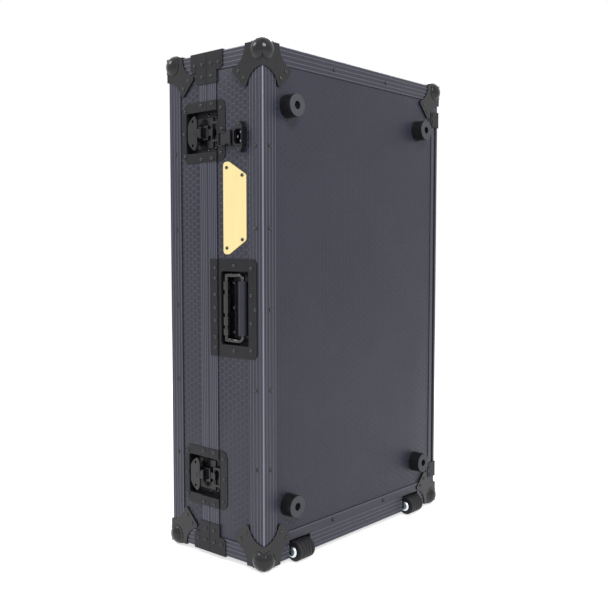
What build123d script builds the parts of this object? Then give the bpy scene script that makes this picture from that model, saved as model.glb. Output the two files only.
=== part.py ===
# Flight case for a DJ controller, standing on its wheel end.
# +Z runs up the long side, -Y is the side with the carrying handle,
# +X is the underside with the rubber feet and -X is the lid.
# Insets are measured inward from the outer faces of the edge extrusions.
import os

from build123d import *

os.makedirs("parts", exist_ok=True)

# Outside of the closed case
LENGTH = 830.0
WIDTH = 502.0
DEPTH = 222.0
LID_DEPTH = 96.0

# Plywood panels held in ribbed double angles
PLY = 9.0
SKIN = 1.8
RIB = 0.4
RIB_WIDTH = 1.6
WEB = 1.2
EDGE_LEG = 30.0
EDGE_INNER = 26.0
EDGE_ROUND = 2.0
EDGE_RIBS = (7.2, 14.4, 21.6, 28.4)
WIDE_LEG = 47.0
WIDE_RIBS = (7.2, 14.4, 21.6, 28.8, 45.4)
SEAT_GAP = 0.2
CUT_GAP = 0.3

# Tongue and groove rim where lid and base meet
RIM_LEG = 21.5
LID_RIM_LEG = 19.0
RIM_INNER = 18.0
RIM_RIBS = (3.2, 7.4, 11.6, 15.8, 20.0)
PART_GAP = 0.4
GROOVE_DEEP = 5.2
GROOVE_WIDE = 4.0
TONGUE_HIGH = 4.4
TONGUE_SLACK = 0.35

# Ball corners and flat brackets
BALL_R = 19.0
BALL_INSET = 10.5
PLATE = 1.5
PLATE_ARC_R = 34.0
PLATE_ARC_AT = 71.0
PLATE_DIAGONAL = 104.0
PLATE_TIP_R = 5.0
BALL_RING_R = 17.2
BALL_RING_HIGH = 0.8
BRACKET = 1.2
BRACKET_ARM = 38.0
BRACKET_ARM_HIGH = 29.0
BRACKET_LEG = 24.0
BRACKET_LEG_HIGH = 50.0
BRACKET_CUT = 4.5

# Feet and wheels on the underside
FOOT_D = 38.0
FOOT_FACE_D = 36.0
FOOT_HIGH = 20.0
FOOT_HOLE_D = 12.5
FOOT_HOLE_DEEP = 13.0
FOOT_SCREW_D = 4.5
FOOT_HEAD_D = 10.5
FOOT_HEAD_HIGH = 2.6
FOOT_SIDE_INSET = 59.0
FOOT_END_INSET = 92.5
WHEEL_R = 17.0
WHEEL_WIDE = 36.0
WHEEL_OUT = 1.5
WHEEL_UP = 11.0
WHEEL_SIDE_INSET = 87.0
WHEEL_GROOVES = 4
WHEEL_GROOVE_WIDE = 2.2
WHEEL_GROOVE_DEEP = 0.9
AXLE_D = 6.0
AXLE_FIT = 0.08
WHEEL_SIDE_GAP = 0.6
HOUSING_WALL = 1.5
HOUSING_EAR_R = 7.0
HUB_CAP_R = 9.5
HUB_CAP_HIGH = 4.0
HUB_CAP_DOME = 3.6
NUT_FLAT_R = 5.0

# Recessed butterfly latch, measured from the parting line and its own middle
LATCH_END_INSET = 127.0
LATCH_FAR_INSET = 160.0
DISH_HIGH = 99.0
DISH_LID = 61.5
DISH_BASE = 41.5
DISH_SHEET = 1.2
DISH_CUT = 11.0
DISH_ROUND = 13.0
WELL_HIGH = 67.0
WELL_LID = 52.0
WELL_BASE = 25.5
WELL_DEEP = 16.0
WELL_ROUND = 4.0
MECH_PLATE = 2.0
MECH_PLATE_HIGH = 50.0
MECH_PLATE_EDGE = 4.0
TURN_GAP = 0.1
ROTOR_AT = 20.0
ROTOR_DISC_R = 9.5
ROTOR_DISC_HIGH = 3.8
ROTOR_BOSS_R = 7.5
ROTOR_BOSS_HIGH = 2.2
STUD_R = 3.5
STUD_HIGH = 3.2
CLEVIS_WIDE = 18.0
CLEVIS_GAP = 13.8
CLEVIS_R = 2.6
CLEVIS_BRIDGE = 0.8
WING_AXIS = -2.6
WING_PIN_R = 1.2
WING_BARREL_R = 1.9
WING_SHEET = 2.0
WING_END_AT = 17.5
WING_END_HALF = 18.5
WING_END_R = 11.0
WING_SWEEP_R = 31.2
WING_HOLE_AT = 16.5
WING_HOLE_HALF = 20.0
WING_HOLE_R = 2.4
WING_BODY_TO = 6.0
WING_SLACK = 0.4
WING_RING_AT = 10.0
WING_RING_R = 5.0
WING_RING_HOLE_R = 3.4
WING_RING_HIGH = 0.5
PIN_FIT = 0.08
HOOK_SHEET = 1.7
HOOK_ARM = 4.0
HOOK_FIT = 0.3
HOOK_LIFT = 0.15
HOOK_TRAVEL = 8.0
HOOK_BAR_AT = 9.8
HOOK_BAR = 2.4
HOOK_BAR_HIGH = 5.0
HOOK_TONGUE_WIDE = 11.0
HOOK_NOSE = 2.2
HOOK_NOSE_HIGH = 0.8
KEEPER_AT = 0.7
KEEPER_LONG = 17.0
KEEPER_HIGH = 33.0
KEEPER_BAR = 3.0
KEEPER_END = 4.0
KEEPER_SHEET = 2.0
KEEPER_TOP = 7.0

# Recessed sprung handle, measured from the parting line and its own middle.
# The room for it ends at the leg of the edge extrusion on the underside.
BASE_ROOM = DEPTH - LID_DEPTH - EDGE_LEG
ARM_HALF = 54.0
ROD_R = 3.5
ROD_FIT = 0.08
GRIP_DISH_FROM = 5.5
GRIP_DISH_TO = BASE_ROOM + 16.5
GRIP_WELL_FROM = 30.0
GRIP_WELL_TO = BASE_ROOM - 1.5
GRIP_WELL_HIGH = 2 * (ARM_HALF + ROD_R + 2.5)
GRIP_DISH_HIGH = GRIP_WELL_HIGH + 40.0
GRIP_WELL_DEEP = 18.0
GRIP_WELL_R = 5.0
GRIP_CORNER_R = 10.0
GRIP_AXIS_AT = 36.5
GRIP_AXIS_DEEP = 7.0
BARREL_R = 5.5
HINGE_SHEET = 1.6
HINGE_HIGH = 100.0
HINGE_FOOT = 16.0
KNUCKLES = ((29.0, 43.0), (-9.0, 22.0), (-29.0, -15.0), (-45.0, -34.0))
GRIP_AT = GRIP_WELL_TO - 19.5
GRIP_R = 8.0
GRIP_END_CUT = 1.0
GRIP_HALF = ARM_HALF - 10.0
ARM_BEND_R = 9.0

# Mains inlet with a hinged splash cover, open in this pose
INLET_FROM_TOP = 142.4
INLET_AT = BASE_ROOM - 15.8
INLET_OUT = 10.0
INLET_WIDE = 19.0
INLET_HIGH = 27.0
INLET_WALL = 1.6
INLET_CHAMFER = 4.0
INLET_EAR_OUT = 7.0
INLET_EAR_HALF = 24.0
INLET_EAR_TIP = 5.0
INLET_SHOULDER = 2.0
INLET_DEEP = 16.0
INLET_BACK = 22.0
PIN_LONG = 13.0
PIN_WIDE = 4.0
PIN_THICK = 2.0
PIN_PITCH = 7.0
PIN_EARTH_SHIFT = 4.0
COVER_AXIS_BACK = 19.1
COVER_AXIS_OUT = 8.0
COVER_HINGE_R = 1.9
COVER_PIN_R = 0.9
COVER_BLOCK_BACK = 0.8
COVER_EAR_HALF = INLET_HIGH / 2 - 1.0
COVER_REACH_FROM = 9.6
COVER_REACH_TO = 29.5
COVER_HIGH = 21.5
COVER_DEEP = 3.2
COVER_SHEET = 1.0
COVER_CHAMFER = 5.0
COVER_ARM = 9.0
COVER_RISE_FROM = 3.2
COVER_RISE_TO = 1.2

# Bare badge plate, between the inlet and the carrying handle
BADGE_FROM = 36.5
BADGE_TO = BASE_ROOM - 7.0
BADGE_FROM_TOP = 179.0
BADGE_LONG = LENGTH / 2 - BADGE_FROM_TOP - GRIP_DISH_HIGH / 2 - 7.5
BADGE_CUT_BACK = 39.0
BADGE_CUT_END = 22.6
BADGE_SHEET = 1.2
BADGE_ROUND = 6.0

# Lift-out access panel on the far side, in an aluminium channel
POST_WIDE = 80.0
ACCESS_GAP = 0.4
ACCESS_PROUD = 0.6
ACCESS_LIP = 5.0
ACCESS_REBATE = 4.0
CHANNEL_LEG = 12.0
FRAME_LEG = 9.0
CLIP_WIDE = 26.0
CLIP_FROM = 49.6
CLIP_TO = 80.0
CLIP_CUT = 7.0

# Foam linings
FOAM_GAP = 0.5
FOAM_JOINT = 0.3
FOAM_CLEAR = 1.0
FOAM_RIM_DROP = 9.0
FOAM_PAD = 12.0
TRAY_FLOOR = 28.0
TRAY_WALL = 34.0
LID_PAD = 29.0
SLOT_HALF = 16.0
SLOT_AT = 150.0
SLOT_ROUND = 6.0

# Places that follow from the sizes above
PANEL_IN = SKIN + PLY
LINER = PANEL_IN + WEB
SEAT = LINER + SEAT_GAP
BALL_OUT = BALL_R - BALL_INSET
X_LID = BALL_OUT - (DEPTH + BALL_OUT + FOOT_HIGH) / 2
X_FEET = X_LID + DEPTH
X_PART = X_LID + LID_DEPTH
Y_HANDLE = INLET_OUT - (WIDTH + INLET_OUT + BALL_OUT) / 2
Y_FAR = Y_HANDLE + WIDTH
Z_WHEEL = BALL_OUT
Z_TOP = Z_WHEEL + LENGTH
Z_MID = Z_WHEEL + LENGTH / 2
GROOVE_SEAT = GROOVE_DEEP + WEB + SEAT_GAP
X_BASE_PANEL = X_PART + GROOVE_SEAT
X_LID_PANEL = X_PART - PART_GAP - WEB - SEAT_GAP
MID_Y = Plane(origin=(0, (Y_HANDLE + Y_FAR) / 2, 0), z_dir=(0, 1, 0))
MID_Z = Plane(origin=(0, 0, Z_MID), z_dir=(0, 0, 1))
EAST, WEST = (1, 0, 0), (-1, 0, 0)
NORTH, SOUTH = (0, 1, 0), (0, -1, 0)
UP, DOWN = (0, 0, 1), (0, 0, -1)


def bar(x0, x1, y0, y1, mode=Mode.ADD):
    """Rectangle between two pairs of edges."""
    with Locations(((x0 + x1) / 2, (y0 + y1) / 2)):
        Rectangle(x1 - x0, y1 - y0, mode=mode)


def slab(plane, x0, x1, y0, y1, h0, h1, mode=Mode.ADD):
    """Square-edged block from height h0 to h1 over a plane."""
    with BuildSketch(plane.offset(h0)) as outline:
        bar(x0, x1, y0, y1)
    extrude(outline.sketch, amount=h1 - h0, mode=mode)


def disc(plane, x, y, radius, h0, h1, mode=Mode.ADD):
    """Round boss, or with SUBTRACT a round hole, from height h0 to h1 over a plane."""
    with BuildSketch(plane.offset(h0)) as outline:
        with Locations((x, y)):
            Circle(radius)
    extrude(outline.sketch, amount=h1 - h0, mode=mode)


def facing(origin, normal, side_a, side_b):
    """Plane with this normal, whose x and y run along the two sides, in either order."""
    turn = Vector(*side_a).cross(Vector(*side_b)).dot(Vector(*normal))
    return Plane(origin=origin, x_dir=side_a if turn > 0 else side_b, z_dir=normal)


def run_plane(start, end, x_dir, y_dir):
    """Plane at the end from which a profile is pushed along +normal, and the run's length."""
    along = Vector(*x_dir).cross(Vector(*y_dir))
    span = Vector(*end) - Vector(*start)
    origin = start if along.dot(span) > 0 else end
    return Plane(origin=origin, x_dir=x_dir, z_dir=along), span.length


def angle_profile(wide_up=False):
    """Ribbed double angle: outer legs over the panels, inner legs behind them."""
    rounded = RIB + EDGE_ROUND
    with Locations((rounded, rounded)):
        Circle(EDGE_ROUND)
    for upright in (False, True):
        wide = wide_up and upright
        strips = [(rounded, WIDE_LEG if wide else EDGE_LEG, RIB, SKIN)]
        strips += [(SKIN, EDGE_INNER, PANEL_IN, LINER)]
        for at in WIDE_RIBS if wide else EDGE_RIBS:
            strips.append((at - RIB_WIDTH / 2, at + RIB_WIDTH / 2, 0, RIB))
        for a0, a1, b0, b1 in strips:
            if upright:
                bar(b0, b1, a0, a1)
            else:
                bar(a0, a1, b0, b1)


def rim_profile(grooved):
    """Half of the rim: x runs away from the parting line, y runs inward."""
    leg = RIM_LEG if grooved else LID_RIM_LEG
    bar(0, leg, RIB, SKIN)
    bar(0, RIM_INNER, PANEL_IN, LINER)
    for at in RIM_RIBS:
        if at + RIB_WIDTH / 2 < leg:
            bar(at - RIB_WIDTH / 2, at + RIB_WIDTH / 2, 0, RIB)
    middle = (SKIN + PANEL_IN) / 2
    if grooved:
        bar(0, GROOVE_DEEP + WEB, SKIN, PANEL_IN)
        half = GROOVE_WIDE / 2
        bar(0, GROOVE_DEEP, middle - half, middle + half, mode=Mode.SUBTRACT)
    else:
        bar(0, WEB, SKIN, PANEL_IN)
        half = GROOVE_WIDE / 2 - TONGUE_SLACK
        bar(-TONGUE_HIGH, 0, middle - half, middle + half)


def angle_run(start, end, inward_a, inward_b, wide_up=False):
    """One length of double angle from start to end, its apex on that line."""
    span = Vector(*end) - Vector(*start)
    along = span.normalized()
    plane = facing(start, (along.X, along.Y, along.Z), inward_a, inward_b)
    with BuildSketch(plane) as profile:
        angle_profile(wide_up)
    extrude(profile.sketch, amount=span.length)


def rim_run(start, end, away, inward, grooved):
    """One length of rim extrusion from start to end, its outer edge on the parting line."""
    plane, length = run_plane(start, end, away, inward)
    with BuildSketch(plane) as profile:
        rim_profile(grooved)
    extrude(profile.sketch, amount=length)


# The planes of the four latches: x runs from lid to base, height runs outward
LATCH_SIDES = {
    "handle_low": (Y_HANDLE, SOUTH, Z_WHEEL + LATCH_END_INSET),
    "handle_high": (Y_HANDLE, SOUTH, Z_TOP - LATCH_END_INSET),
    "far_low": (Y_FAR, NORTH, Z_WHEEL + LATCH_FAR_INSET),
    "far_high": (Y_FAR, NORTH, Z_TOP - LATCH_FAR_INSET),
}
LATCH_PLANES = {
    name: Plane(origin=(X_PART, y, z), x_dir=EAST, z_dir=normal)
    for name, (y, normal, z) in LATCH_SIDES.items()
}
# The two handles: one on the handle side, one on the end away from the wheels
SIDE_GRIP = Plane(origin=(X_PART, Y_HANDLE, Z_MID), x_dir=EAST, z_dir=SOUTH)
END_GRIP = Plane(origin=(X_PART, (Y_HANDLE + Y_FAR) / 2, Z_TOP), x_dir=EAST, z_dir=UP)
INLET_PLANE = Plane(
    origin=(X_PART + INLET_AT, Y_HANDLE, Z_TOP - INLET_FROM_TOP), x_dir=EAST, z_dir=SOUTH
)


def cut_latch_wells(names):
    """Notches where the latch dishes pass through the rim and the side panels."""
    edge = DISH_SHEET + CUT_GAP
    for name in names:
        slab(
            LATCH_PLANES[name],
            -WELL_LID - edge,
            WELL_BASE + edge,
            -WELL_HIGH / 2 - edge,
            WELL_HIGH / 2 + edge,
            -WELL_DEEP - edge,
            PLATE,
            mode=Mode.SUBTRACT,
        )


def cut_grip_well(plane):
    """Opening for a handle dish."""
    edge = DISH_SHEET + CUT_GAP
    slab(
        plane,
        GRIP_WELL_FROM - edge,
        GRIP_WELL_TO + edge,
        -GRIP_WELL_HIGH / 2 - edge,
        GRIP_WELL_HIGH / 2 + edge,
        -GRIP_WELL_DEEP - edge,
        0,
        mode=Mode.SUBTRACT,
    )


# Wheel places and the notch that each wheel housing fills
WHEEL_YS = (Y_HANDLE + WHEEL_SIDE_INSET, Y_FAR - WHEEL_SIDE_INSET)
AXLE_X = X_FEET + WHEEL_OUT
AXLE_Z = Z_WHEEL + WHEEL_UP
WHEEL_ROOM = 1.3
EAR_IN = WHEEL_WIDE / 2 + WHEEL_SIDE_GAP
EAR_OUT = EAR_IN + HOUSING_WALL
HOUSING_HALF = EAR_OUT + HUB_CAP_HIGH + WHEEL_SIDE_GAP
HOUSING_X = AXLE_X - WHEEL_R - WHEEL_ROOM
HOUSING_Z = AXLE_Z + WHEEL_R + WHEEL_ROOM


def cut_wheel_notches():
    """Room for the wheel housings in the corner of the underside and the wheel end."""
    half = HOUSING_HALF + HOUSING_WALL + CUT_GAP
    for y in WHEEL_YS:
        slab(
            Plane.XY,
            HOUSING_X - HOUSING_WALL - CUT_GAP,
            X_FEET + PLATE,
            y - half,
            y + half,
            0,
            HOUSING_Z + HOUSING_WALL + CUT_GAP,
            mode=Mode.SUBTRACT,
        )


# Base panels, nine millimetre plywood

with BuildPart() as base_bottom_panel:
    slab(
        Plane.XY,
        X_FEET - PANEL_IN,
        X_FEET - SKIN,
        Y_HANDLE + SEAT,
        Y_FAR - SEAT,
        Z_WHEEL + SEAT,
        Z_TOP - SEAT,
    )
    # Cut back behind the access panel's frame
    slab(
        Plane.XY,
        X_FEET - PANEL_IN,
        X_FEET - SKIN,
        Y_FAR - SEAT - WEB - SEAT_GAP,
        Y_FAR,
        Z_WHEEL + POST_WIDE,
        Z_TOP - POST_WIDE,
        mode=Mode.SUBTRACT,
    )
    cut_wheel_notches()
base_bottom_panel.part.label = "base_bottom_panel"
export_step(base_bottom_panel.part, "parts/base_bottom_panel.step")

with BuildPart() as base_handle_side_panel:
    slab(
        Plane.XY,
        X_BASE_PANEL,
        X_FEET - SEAT,
        Y_HANDLE + SKIN,
        Y_HANDLE + PANEL_IN,
        Z_WHEEL + SEAT,
        Z_TOP - SEAT,
    )
    cut_latch_wells(("handle_low", "handle_high"))
    cut_grip_well(SIDE_GRIP)
    slab(
        INLET_PLANE,
        -INLET_WIDE / 2 - CUT_GAP,
        INLET_WIDE / 2 + CUT_GAP,
        -INLET_HIGH / 2 - CUT_GAP,
        INLET_HIGH / 2 + CUT_GAP,
        -PANEL_IN,
        0,
        mode=Mode.SUBTRACT,
    )
base_handle_side_panel.part.label = "base_handle_side_panel"
export_step(base_handle_side_panel.part, "parts/base_handle_side_panel.step")

with BuildPart() as base_far_side_posts:
    for z0, z1 in (
        (Z_WHEEL + SEAT, Z_WHEEL + POST_WIDE - WEB - SEAT_GAP),
        (Z_TOP - POST_WIDE + WEB + SEAT_GAP, Z_TOP - SEAT),
    ):
        slab(Plane.XY, X_BASE_PANEL, X_FEET - SEAT, Y_FAR - PANEL_IN, Y_FAR - SKIN, z0, z1)
base_far_side_posts.part.label = "base_far_side_posts"
export_step(base_far_side_posts.part, "parts/base_far_side_posts.step")

with BuildPart() as base_wheel_end_panel:
    slab(
        Plane.XY,
        X_BASE_PANEL,
        X_FEET - SEAT,
        Y_HANDLE + SEAT,
        Y_FAR - SEAT,
        Z_WHEEL + SKIN,
        Z_WHEEL + PANEL_IN,
    )
    cut_wheel_notches()
base_wheel_end_panel.part.label = "base_wheel_end_panel"
export_step(base_wheel_end_panel.part, "parts/base_wheel_end_panel.step")

with BuildPart() as base_top_end_panel:
    slab(
        Plane.XY,
        X_BASE_PANEL,
        X_FEET - SEAT,
        Y_HANDLE + SEAT,
        Y_FAR - SEAT,
        Z_TOP - PANEL_IN,
        Z_TOP - SKIN,
    )
    cut_grip_well(END_GRIP)
base_top_end_panel.part.label = "base_top_end_panel"
export_step(base_top_end_panel.part, "parts/base_top_end_panel.step")

# Base extrusions, each ending under a ball corner

NEAR_Z, FAR_Z = Z_WHEEL + EDGE_LEG, Z_TOP - EDGE_LEG
NEAR_Y, FAR_Y = Y_HANDLE + EDGE_LEG, Y_FAR - EDGE_LEG

with BuildPart() as base_edge_extrusions:
    angle_run((X_FEET, Y_HANDLE, NEAR_Z), (X_FEET, Y_HANDLE, FAR_Z), WEST, NORTH)
    for z0, z1 in ((NEAR_Z, Z_WHEEL + POST_WIDE), (Z_TOP - POST_WIDE, FAR_Z)):
        angle_run((X_FEET, Y_FAR, z0), (X_FEET, Y_FAR, z1), WEST, SOUTH)
    for z, inward in ((Z_WHEEL, UP), (Z_TOP, DOWN)):
        start, end = (X_FEET, NEAR_Y + SEAT_GAP, z), (X_FEET, FAR_Y - SEAT_GAP, z)
        angle_run(start, end, WEST, inward, wide_up=z == Z_WHEEL)
    cut_wheel_notches()
base_edge_extrusions.part.label = "base_edge_extrusions"
export_step(base_edge_extrusions.part, "parts/base_edge_extrusions.step")

with BuildPart() as base_corner_extrusions:
    for y, inward_y in ((Y_HANDLE, NORTH), (Y_FAR, SOUTH)):
        for z, inward_z in ((Z_WHEEL, UP), (Z_TOP, DOWN)):
            start = (X_PART + RIM_LEG + SEAT_GAP, y, z)
            angle_run(start, (X_FEET - EDGE_LEG, y, z), inward_y, inward_z)
base_corner_extrusions.part.label = "base_corner_extrusions"
export_step(base_corner_extrusions.part, "parts/base_corner_extrusions.step")

with BuildPart() as base_rim_extrusion:
    rim_run((X_PART, Y_HANDLE, Z_WHEEL), (X_PART, Y_HANDLE, Z_TOP), EAST, NORTH, True)
    for z0, z1 in ((Z_WHEEL, Z_WHEEL + POST_WIDE), (Z_TOP - POST_WIDE, Z_TOP)):
        rim_run((X_PART, Y_FAR, z0), (X_PART, Y_FAR, z1), EAST, SOUTH, True)
    for z, inward in ((Z_WHEEL, UP), (Z_TOP, DOWN)):
        y0, y1 = Y_HANDLE + SEAT, Y_FAR - SEAT
        rim_run((X_PART, y0, z), (X_PART, y1, z), EAST, inward, True)
    cut_latch_wells(("handle_low", "handle_high"))
base_rim_extrusion.part.label = "base_rim_extrusion"
export_step(base_rim_extrusion.part, "parts/base_rim_extrusion.step")

# Lid panels and extrusions

with BuildPart() as lid_panel:
    slab(
        Plane.XY,
        X_LID + SKIN,
        X_LID + PANEL_IN,
        Y_HANDLE + SEAT,
        Y_FAR - SEAT,
        Z_WHEEL + SEAT,
        Z_TOP - SEAT,
    )
lid_panel.part.label = "lid_panel"
export_step(lid_panel.part, "parts/lid_panel.step")

with BuildPart() as lid_long_side_panels:
    for y0, y1 in (
        (Y_HANDLE + SKIN, Y_HANDLE + PANEL_IN),
        (Y_FAR - PANEL_IN, Y_FAR - SKIN),
    ):
        slab(Plane.XY, X_LID + SEAT, X_LID_PANEL, y0, y1, Z_WHEEL + SEAT, Z_TOP - SEAT)
    cut_latch_wells(LATCH_PLANES)
lid_long_side_panels.part.label = "lid_long_side_panels"
export_step(lid_long_side_panels.part, "parts/lid_long_side_panels.step")

with BuildPart() as lid_end_panels:
    for z0, z1 in (
        (Z_WHEEL + SKIN, Z_WHEEL + PANEL_IN),
        (Z_TOP - PANEL_IN, Z_TOP - SKIN),
    ):
        slab(Plane.XY, X_LID + SEAT, X_LID_PANEL, Y_HANDLE + SEAT, Y_FAR - SEAT, z0, z1)
lid_end_panels.part.label = "lid_end_panels"
export_step(lid_end_panels.part, "parts/lid_end_panels.step")

with BuildPart() as lid_edge_extrusions:
    for y, inward in ((Y_HANDLE, NORTH), (Y_FAR, SOUTH)):
        angle_run((X_LID, y, NEAR_Z), (X_LID, y, FAR_Z), EAST, inward)
    for z, inward in ((Z_WHEEL, UP), (Z_TOP, DOWN)):
        angle_run((X_LID, NEAR_Y, z), (X_LID, FAR_Y, z), EAST, inward)
lid_edge_extrusions.part.label = "lid_edge_extrusions"
export_step(lid_edge_extrusions.part, "parts/lid_edge_extrusions.step")

with BuildPart() as lid_corner_extrusions:
    for y, inward_y in ((Y_HANDLE, NORTH), (Y_FAR, SOUTH)):
        for z, inward_z in ((Z_WHEEL, UP), (Z_TOP, DOWN)):
            end = (X_PART - PART_GAP - LID_RIM_LEG - SEAT_GAP, y, z)
            angle_run((X_LID + EDGE_LEG, y, z), end, inward_y, inward_z)
lid_corner_extrusions.part.label = "lid_corner_extrusions"
export_step(lid_corner_extrusions.part, "parts/lid_corner_extrusions.step")

with BuildPart() as lid_rim_extrusion:
    x = X_PART - PART_GAP
    for y, inward in ((Y_HANDLE, NORTH), (Y_FAR, SOUTH)):
        rim_run((x, y, Z_WHEEL), (x, y, Z_TOP), WEST, inward, False)
    for z, inward in ((Z_WHEEL, UP), (Z_TOP, DOWN)):
        rim_run((x, Y_HANDLE + SEAT, z), (x, Y_FAR - SEAT, z), WEST, inward, False)
    cut_latch_wells(LATCH_PLANES)
lid_rim_extrusion.part.label = "lid_rim_extrusion"
export_step(lid_rim_extrusion.part, "parts/lid_rim_extrusion.step")

# Lift-out access panel on the far side, with its channel and the frame it sits in

ACCESS_Z0 = Z_WHEEL + POST_WIDE + ACCESS_GAP
ACCESS_Z1 = Z_TOP - POST_WIDE - ACCESS_GAP
ACCESS_X1 = X_FEET - ACCESS_PROUD - ACCESS_REBATE

with BuildPart() as access_panel_board:
    slab(
        Plane.XY,
        X_BASE_PANEL,
        ACCESS_X1 - WEB,
        Y_FAR - PANEL_IN,
        Y_FAR - SKIN,
        ACCESS_Z0 + WEB,
        ACCESS_Z1 - WEB,
    )
    cut_latch_wells(("far_low", "far_high"))
access_panel_board.part.label = "access_panel_board"
export_step(access_panel_board.part, "parts/access_panel_board.step")

with BuildPart() as access_panel_channel:
    x0, y0, y1 = X_PART + RIM_LEG + SEAT_GAP, Y_FAR - LINER, Y_FAR - ACCESS_PROUD
    slab(Plane.XY, x0, ACCESS_X1, y0, y1, ACCESS_Z0, ACCESS_Z1)
    # Lip along the underside, with a rebate behind it that shows as a dark line
    lip_from = y1 - ACCESS_LIP
    slab(Plane.XY, ACCESS_X1, X_FEET - ACCESS_PROUD, lip_from, y1, ACCESS_Z0, ACCESS_Z1)
    slab(
        Plane.XY,
        x0,
        ACCESS_X1 - WEB,
        Y_FAR - PANEL_IN,
        Y_FAR - SKIN,
        ACCESS_Z0 + WEB,
        ACCESS_Z1 - WEB,
        mode=Mode.SUBTRACT,
    )
    slab(
        Plane.XY,
        x0,
        ACCESS_X1 - CHANNEL_LEG,
        y0,
        y1,
        ACCESS_Z0 + CHANNEL_LEG,
        ACCESS_Z1 - CHANNEL_LEG,
        mode=Mode.SUBTRACT,
    )
access_panel_channel.part.label = "access_panel_channel"
export_step(access_panel_channel.part, "parts/access_panel_channel.step")

with BuildPart() as access_panel_rim:
    rim_run((X_PART, Y_FAR, ACCESS_Z0), (X_PART, Y_FAR, ACCESS_Z1), EAST, SOUTH, True)
    cut_latch_wells(("far_low", "far_high"))
access_panel_rim.part.label = "access_panel_rim"
export_step(access_panel_rim.part, "parts/access_panel_rim.step")

with BuildPart() as access_frame:
    frame_y = Y_FAR - LINER - CUT_GAP
    z0, z1 = Z_WHEEL + POST_WIDE, Z_TOP - POST_WIDE
    x0, x1 = X_FEET - PANEL_IN, X_FEET - ACCESS_PROUD
    slab(Plane.XY, x0, x1, frame_y - WEB, frame_y, z0, z1)
    slab(Plane.XY, x1 - WEB, x1, frame_y - FRAME_LEG, frame_y, z0, z1)
    for end_z, step in ((z0, -1), (z1, 1)):
        low, high = sorted((end_z, end_z + step * WEB))
        post = (X_PART + RIM_LEG + SEAT_GAP, X_FEET - EDGE_LEG - SEAT_GAP)
        slab(Plane.XY, *post, Y_FAR - PANEL_IN, Y_FAR - ACCESS_PROUD, low, high)
        low, high = sorted((end_z, end_z + step * FRAME_LEG))
        slab(Plane.XY, *post, Y_FAR - SKIN, Y_FAR - ACCESS_PROUD, low, high)
access_frame.part.label = "access_frame"
export_step(access_frame.part, "parts/access_frame.step")

with BuildPart() as access_clips:
    for normal, side in ((EAST, SOUTH), (NORTH, WEST)):
        plane = facing((X_FEET, Y_FAR, Z_WHEEL), normal, side, UP)
        along_x = plane.x_dir.Z < 0.5
        with BuildSketch(plane):
            if along_x:
                bar(-BRACKET, CLIP_WIDE, CLIP_FROM, CLIP_TO)
            else:
                bar(CLIP_FROM, CLIP_TO, -BRACKET, CLIP_WIDE)
        extrude(amount=BRACKET)
    edges = access_clips.edges().filter_by(Axis.X) + access_clips.edges().filter_by(Axis.Y)
    outer = edges.filter_by(lambda e: abs(e.length - BRACKET) < 0.01)
    outer = outer.filter_by(lambda e: e.center().Z > Z_WHEEL + CLIP_TO - 1)
    chamfer(outer, CLIP_CUT)
    mirror(about=MID_Z)
access_clips.part.label = "access_clips"
export_step(access_clips.part, "parts/access_clips.step")

# Ball corners and the brackets at the corners of the rim


def corner_plate_outline():
    """Plate of a ball corner on one face, symmetrical about the diagonal."""
    far = PLATE_ARC_AT
    Polygon(
        (-PLATE, -PLATE),
        (far, -PLATE),
        (far, PLATE_DIAGONAL - far),
        (PLATE_DIAGONAL - far, far),
        (-PLATE, far),
        align=None,
    )
    for at in ((far, 0), (0, far)):
        with Locations(at):
            Circle(PLATE_ARC_R, mode=Mode.SUBTRACT)
    # The rounding leaves no thread of plate beyond the arcs
    bar(PLATE_ARC_AT - PLATE_ARC_R, far, -PLATE, 0, mode=Mode.SUBTRACT)
    bar(-PLATE, 0, PLATE_ARC_AT - PLATE_ARC_R, far, mode=Mode.SUBTRACT)
    tips = vertices().filter_by(lambda v: abs(v.X + v.Y - PLATE_DIAGONAL) < 0.01)
    fillet(tips, PLATE_TIP_R)


def ball_corner(corner, inward, wide_up=False):
    """Pressed corner: three plates and the ball between them, with a ring round it."""
    sides = [tuple(inward[i] if i == k else 0 for i in range(3)) for k in range(3)]
    for k in range(3):
        a, b = [sides[i] for i in range(3) if i != k]
        normal = tuple(-value for value in sides[k])
        plane = facing(corner, normal, a, b)
        with BuildSketch(plane.offset(-SKIN)) as plate:
            corner_plate_outline()
        extrude(plate.sketch, amount=SKIN + PLATE)
        with BuildSketch(plane.offset(PLATE)) as ring:
            with Locations((BALL_INSET, BALL_INSET)):
                Circle(BALL_RING_R)
            bar(-PLATE, PLATE_ARC_AT, -PLATE, PLATE_ARC_AT, mode=Mode.INTERSECT)
        extrude(ring.sketch, amount=BALL_RING_HIGH)
    with Locations([tuple(corner[i] + inward[i] * BALL_INSET for i in range(3))]):
        Sphere(BALL_R)
    # Room for the extrusions' ends and the panels under the corner
    reach = EDGE_LEG + CUT_GAP
    with Locations([tuple(corner[i] + inward[i] * reach / 2 for i in range(3))]):
        Box(reach, reach, reach, mode=Mode.SUBTRACT)
    for k in range(3):
        a, b = [sides[i] for i in range(3) if i != k]
        normal = tuple(-value for value in sides[k])
        plane = facing(corner, normal, a, b)
        # The leg that runs along y reaches over x, and the other way round
        over_x, over_y = reach, reach
        if wide_up and k == 0:
            over_x += abs(plane.x_dir.Z) * (WIDE_LEG - EDGE_LEG)
            over_y += abs(plane.y_dir.Z) * (WIDE_LEG - EDGE_LEG)
        slab(plane, 0, over_x, reach, PLATE_ARC_AT, -SKIN, 0, mode=Mode.SUBTRACT)
        slab(plane, reach, PLATE_ARC_AT, 0, over_y, -SKIN, 0, mode=Mode.SUBTRACT)


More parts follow.
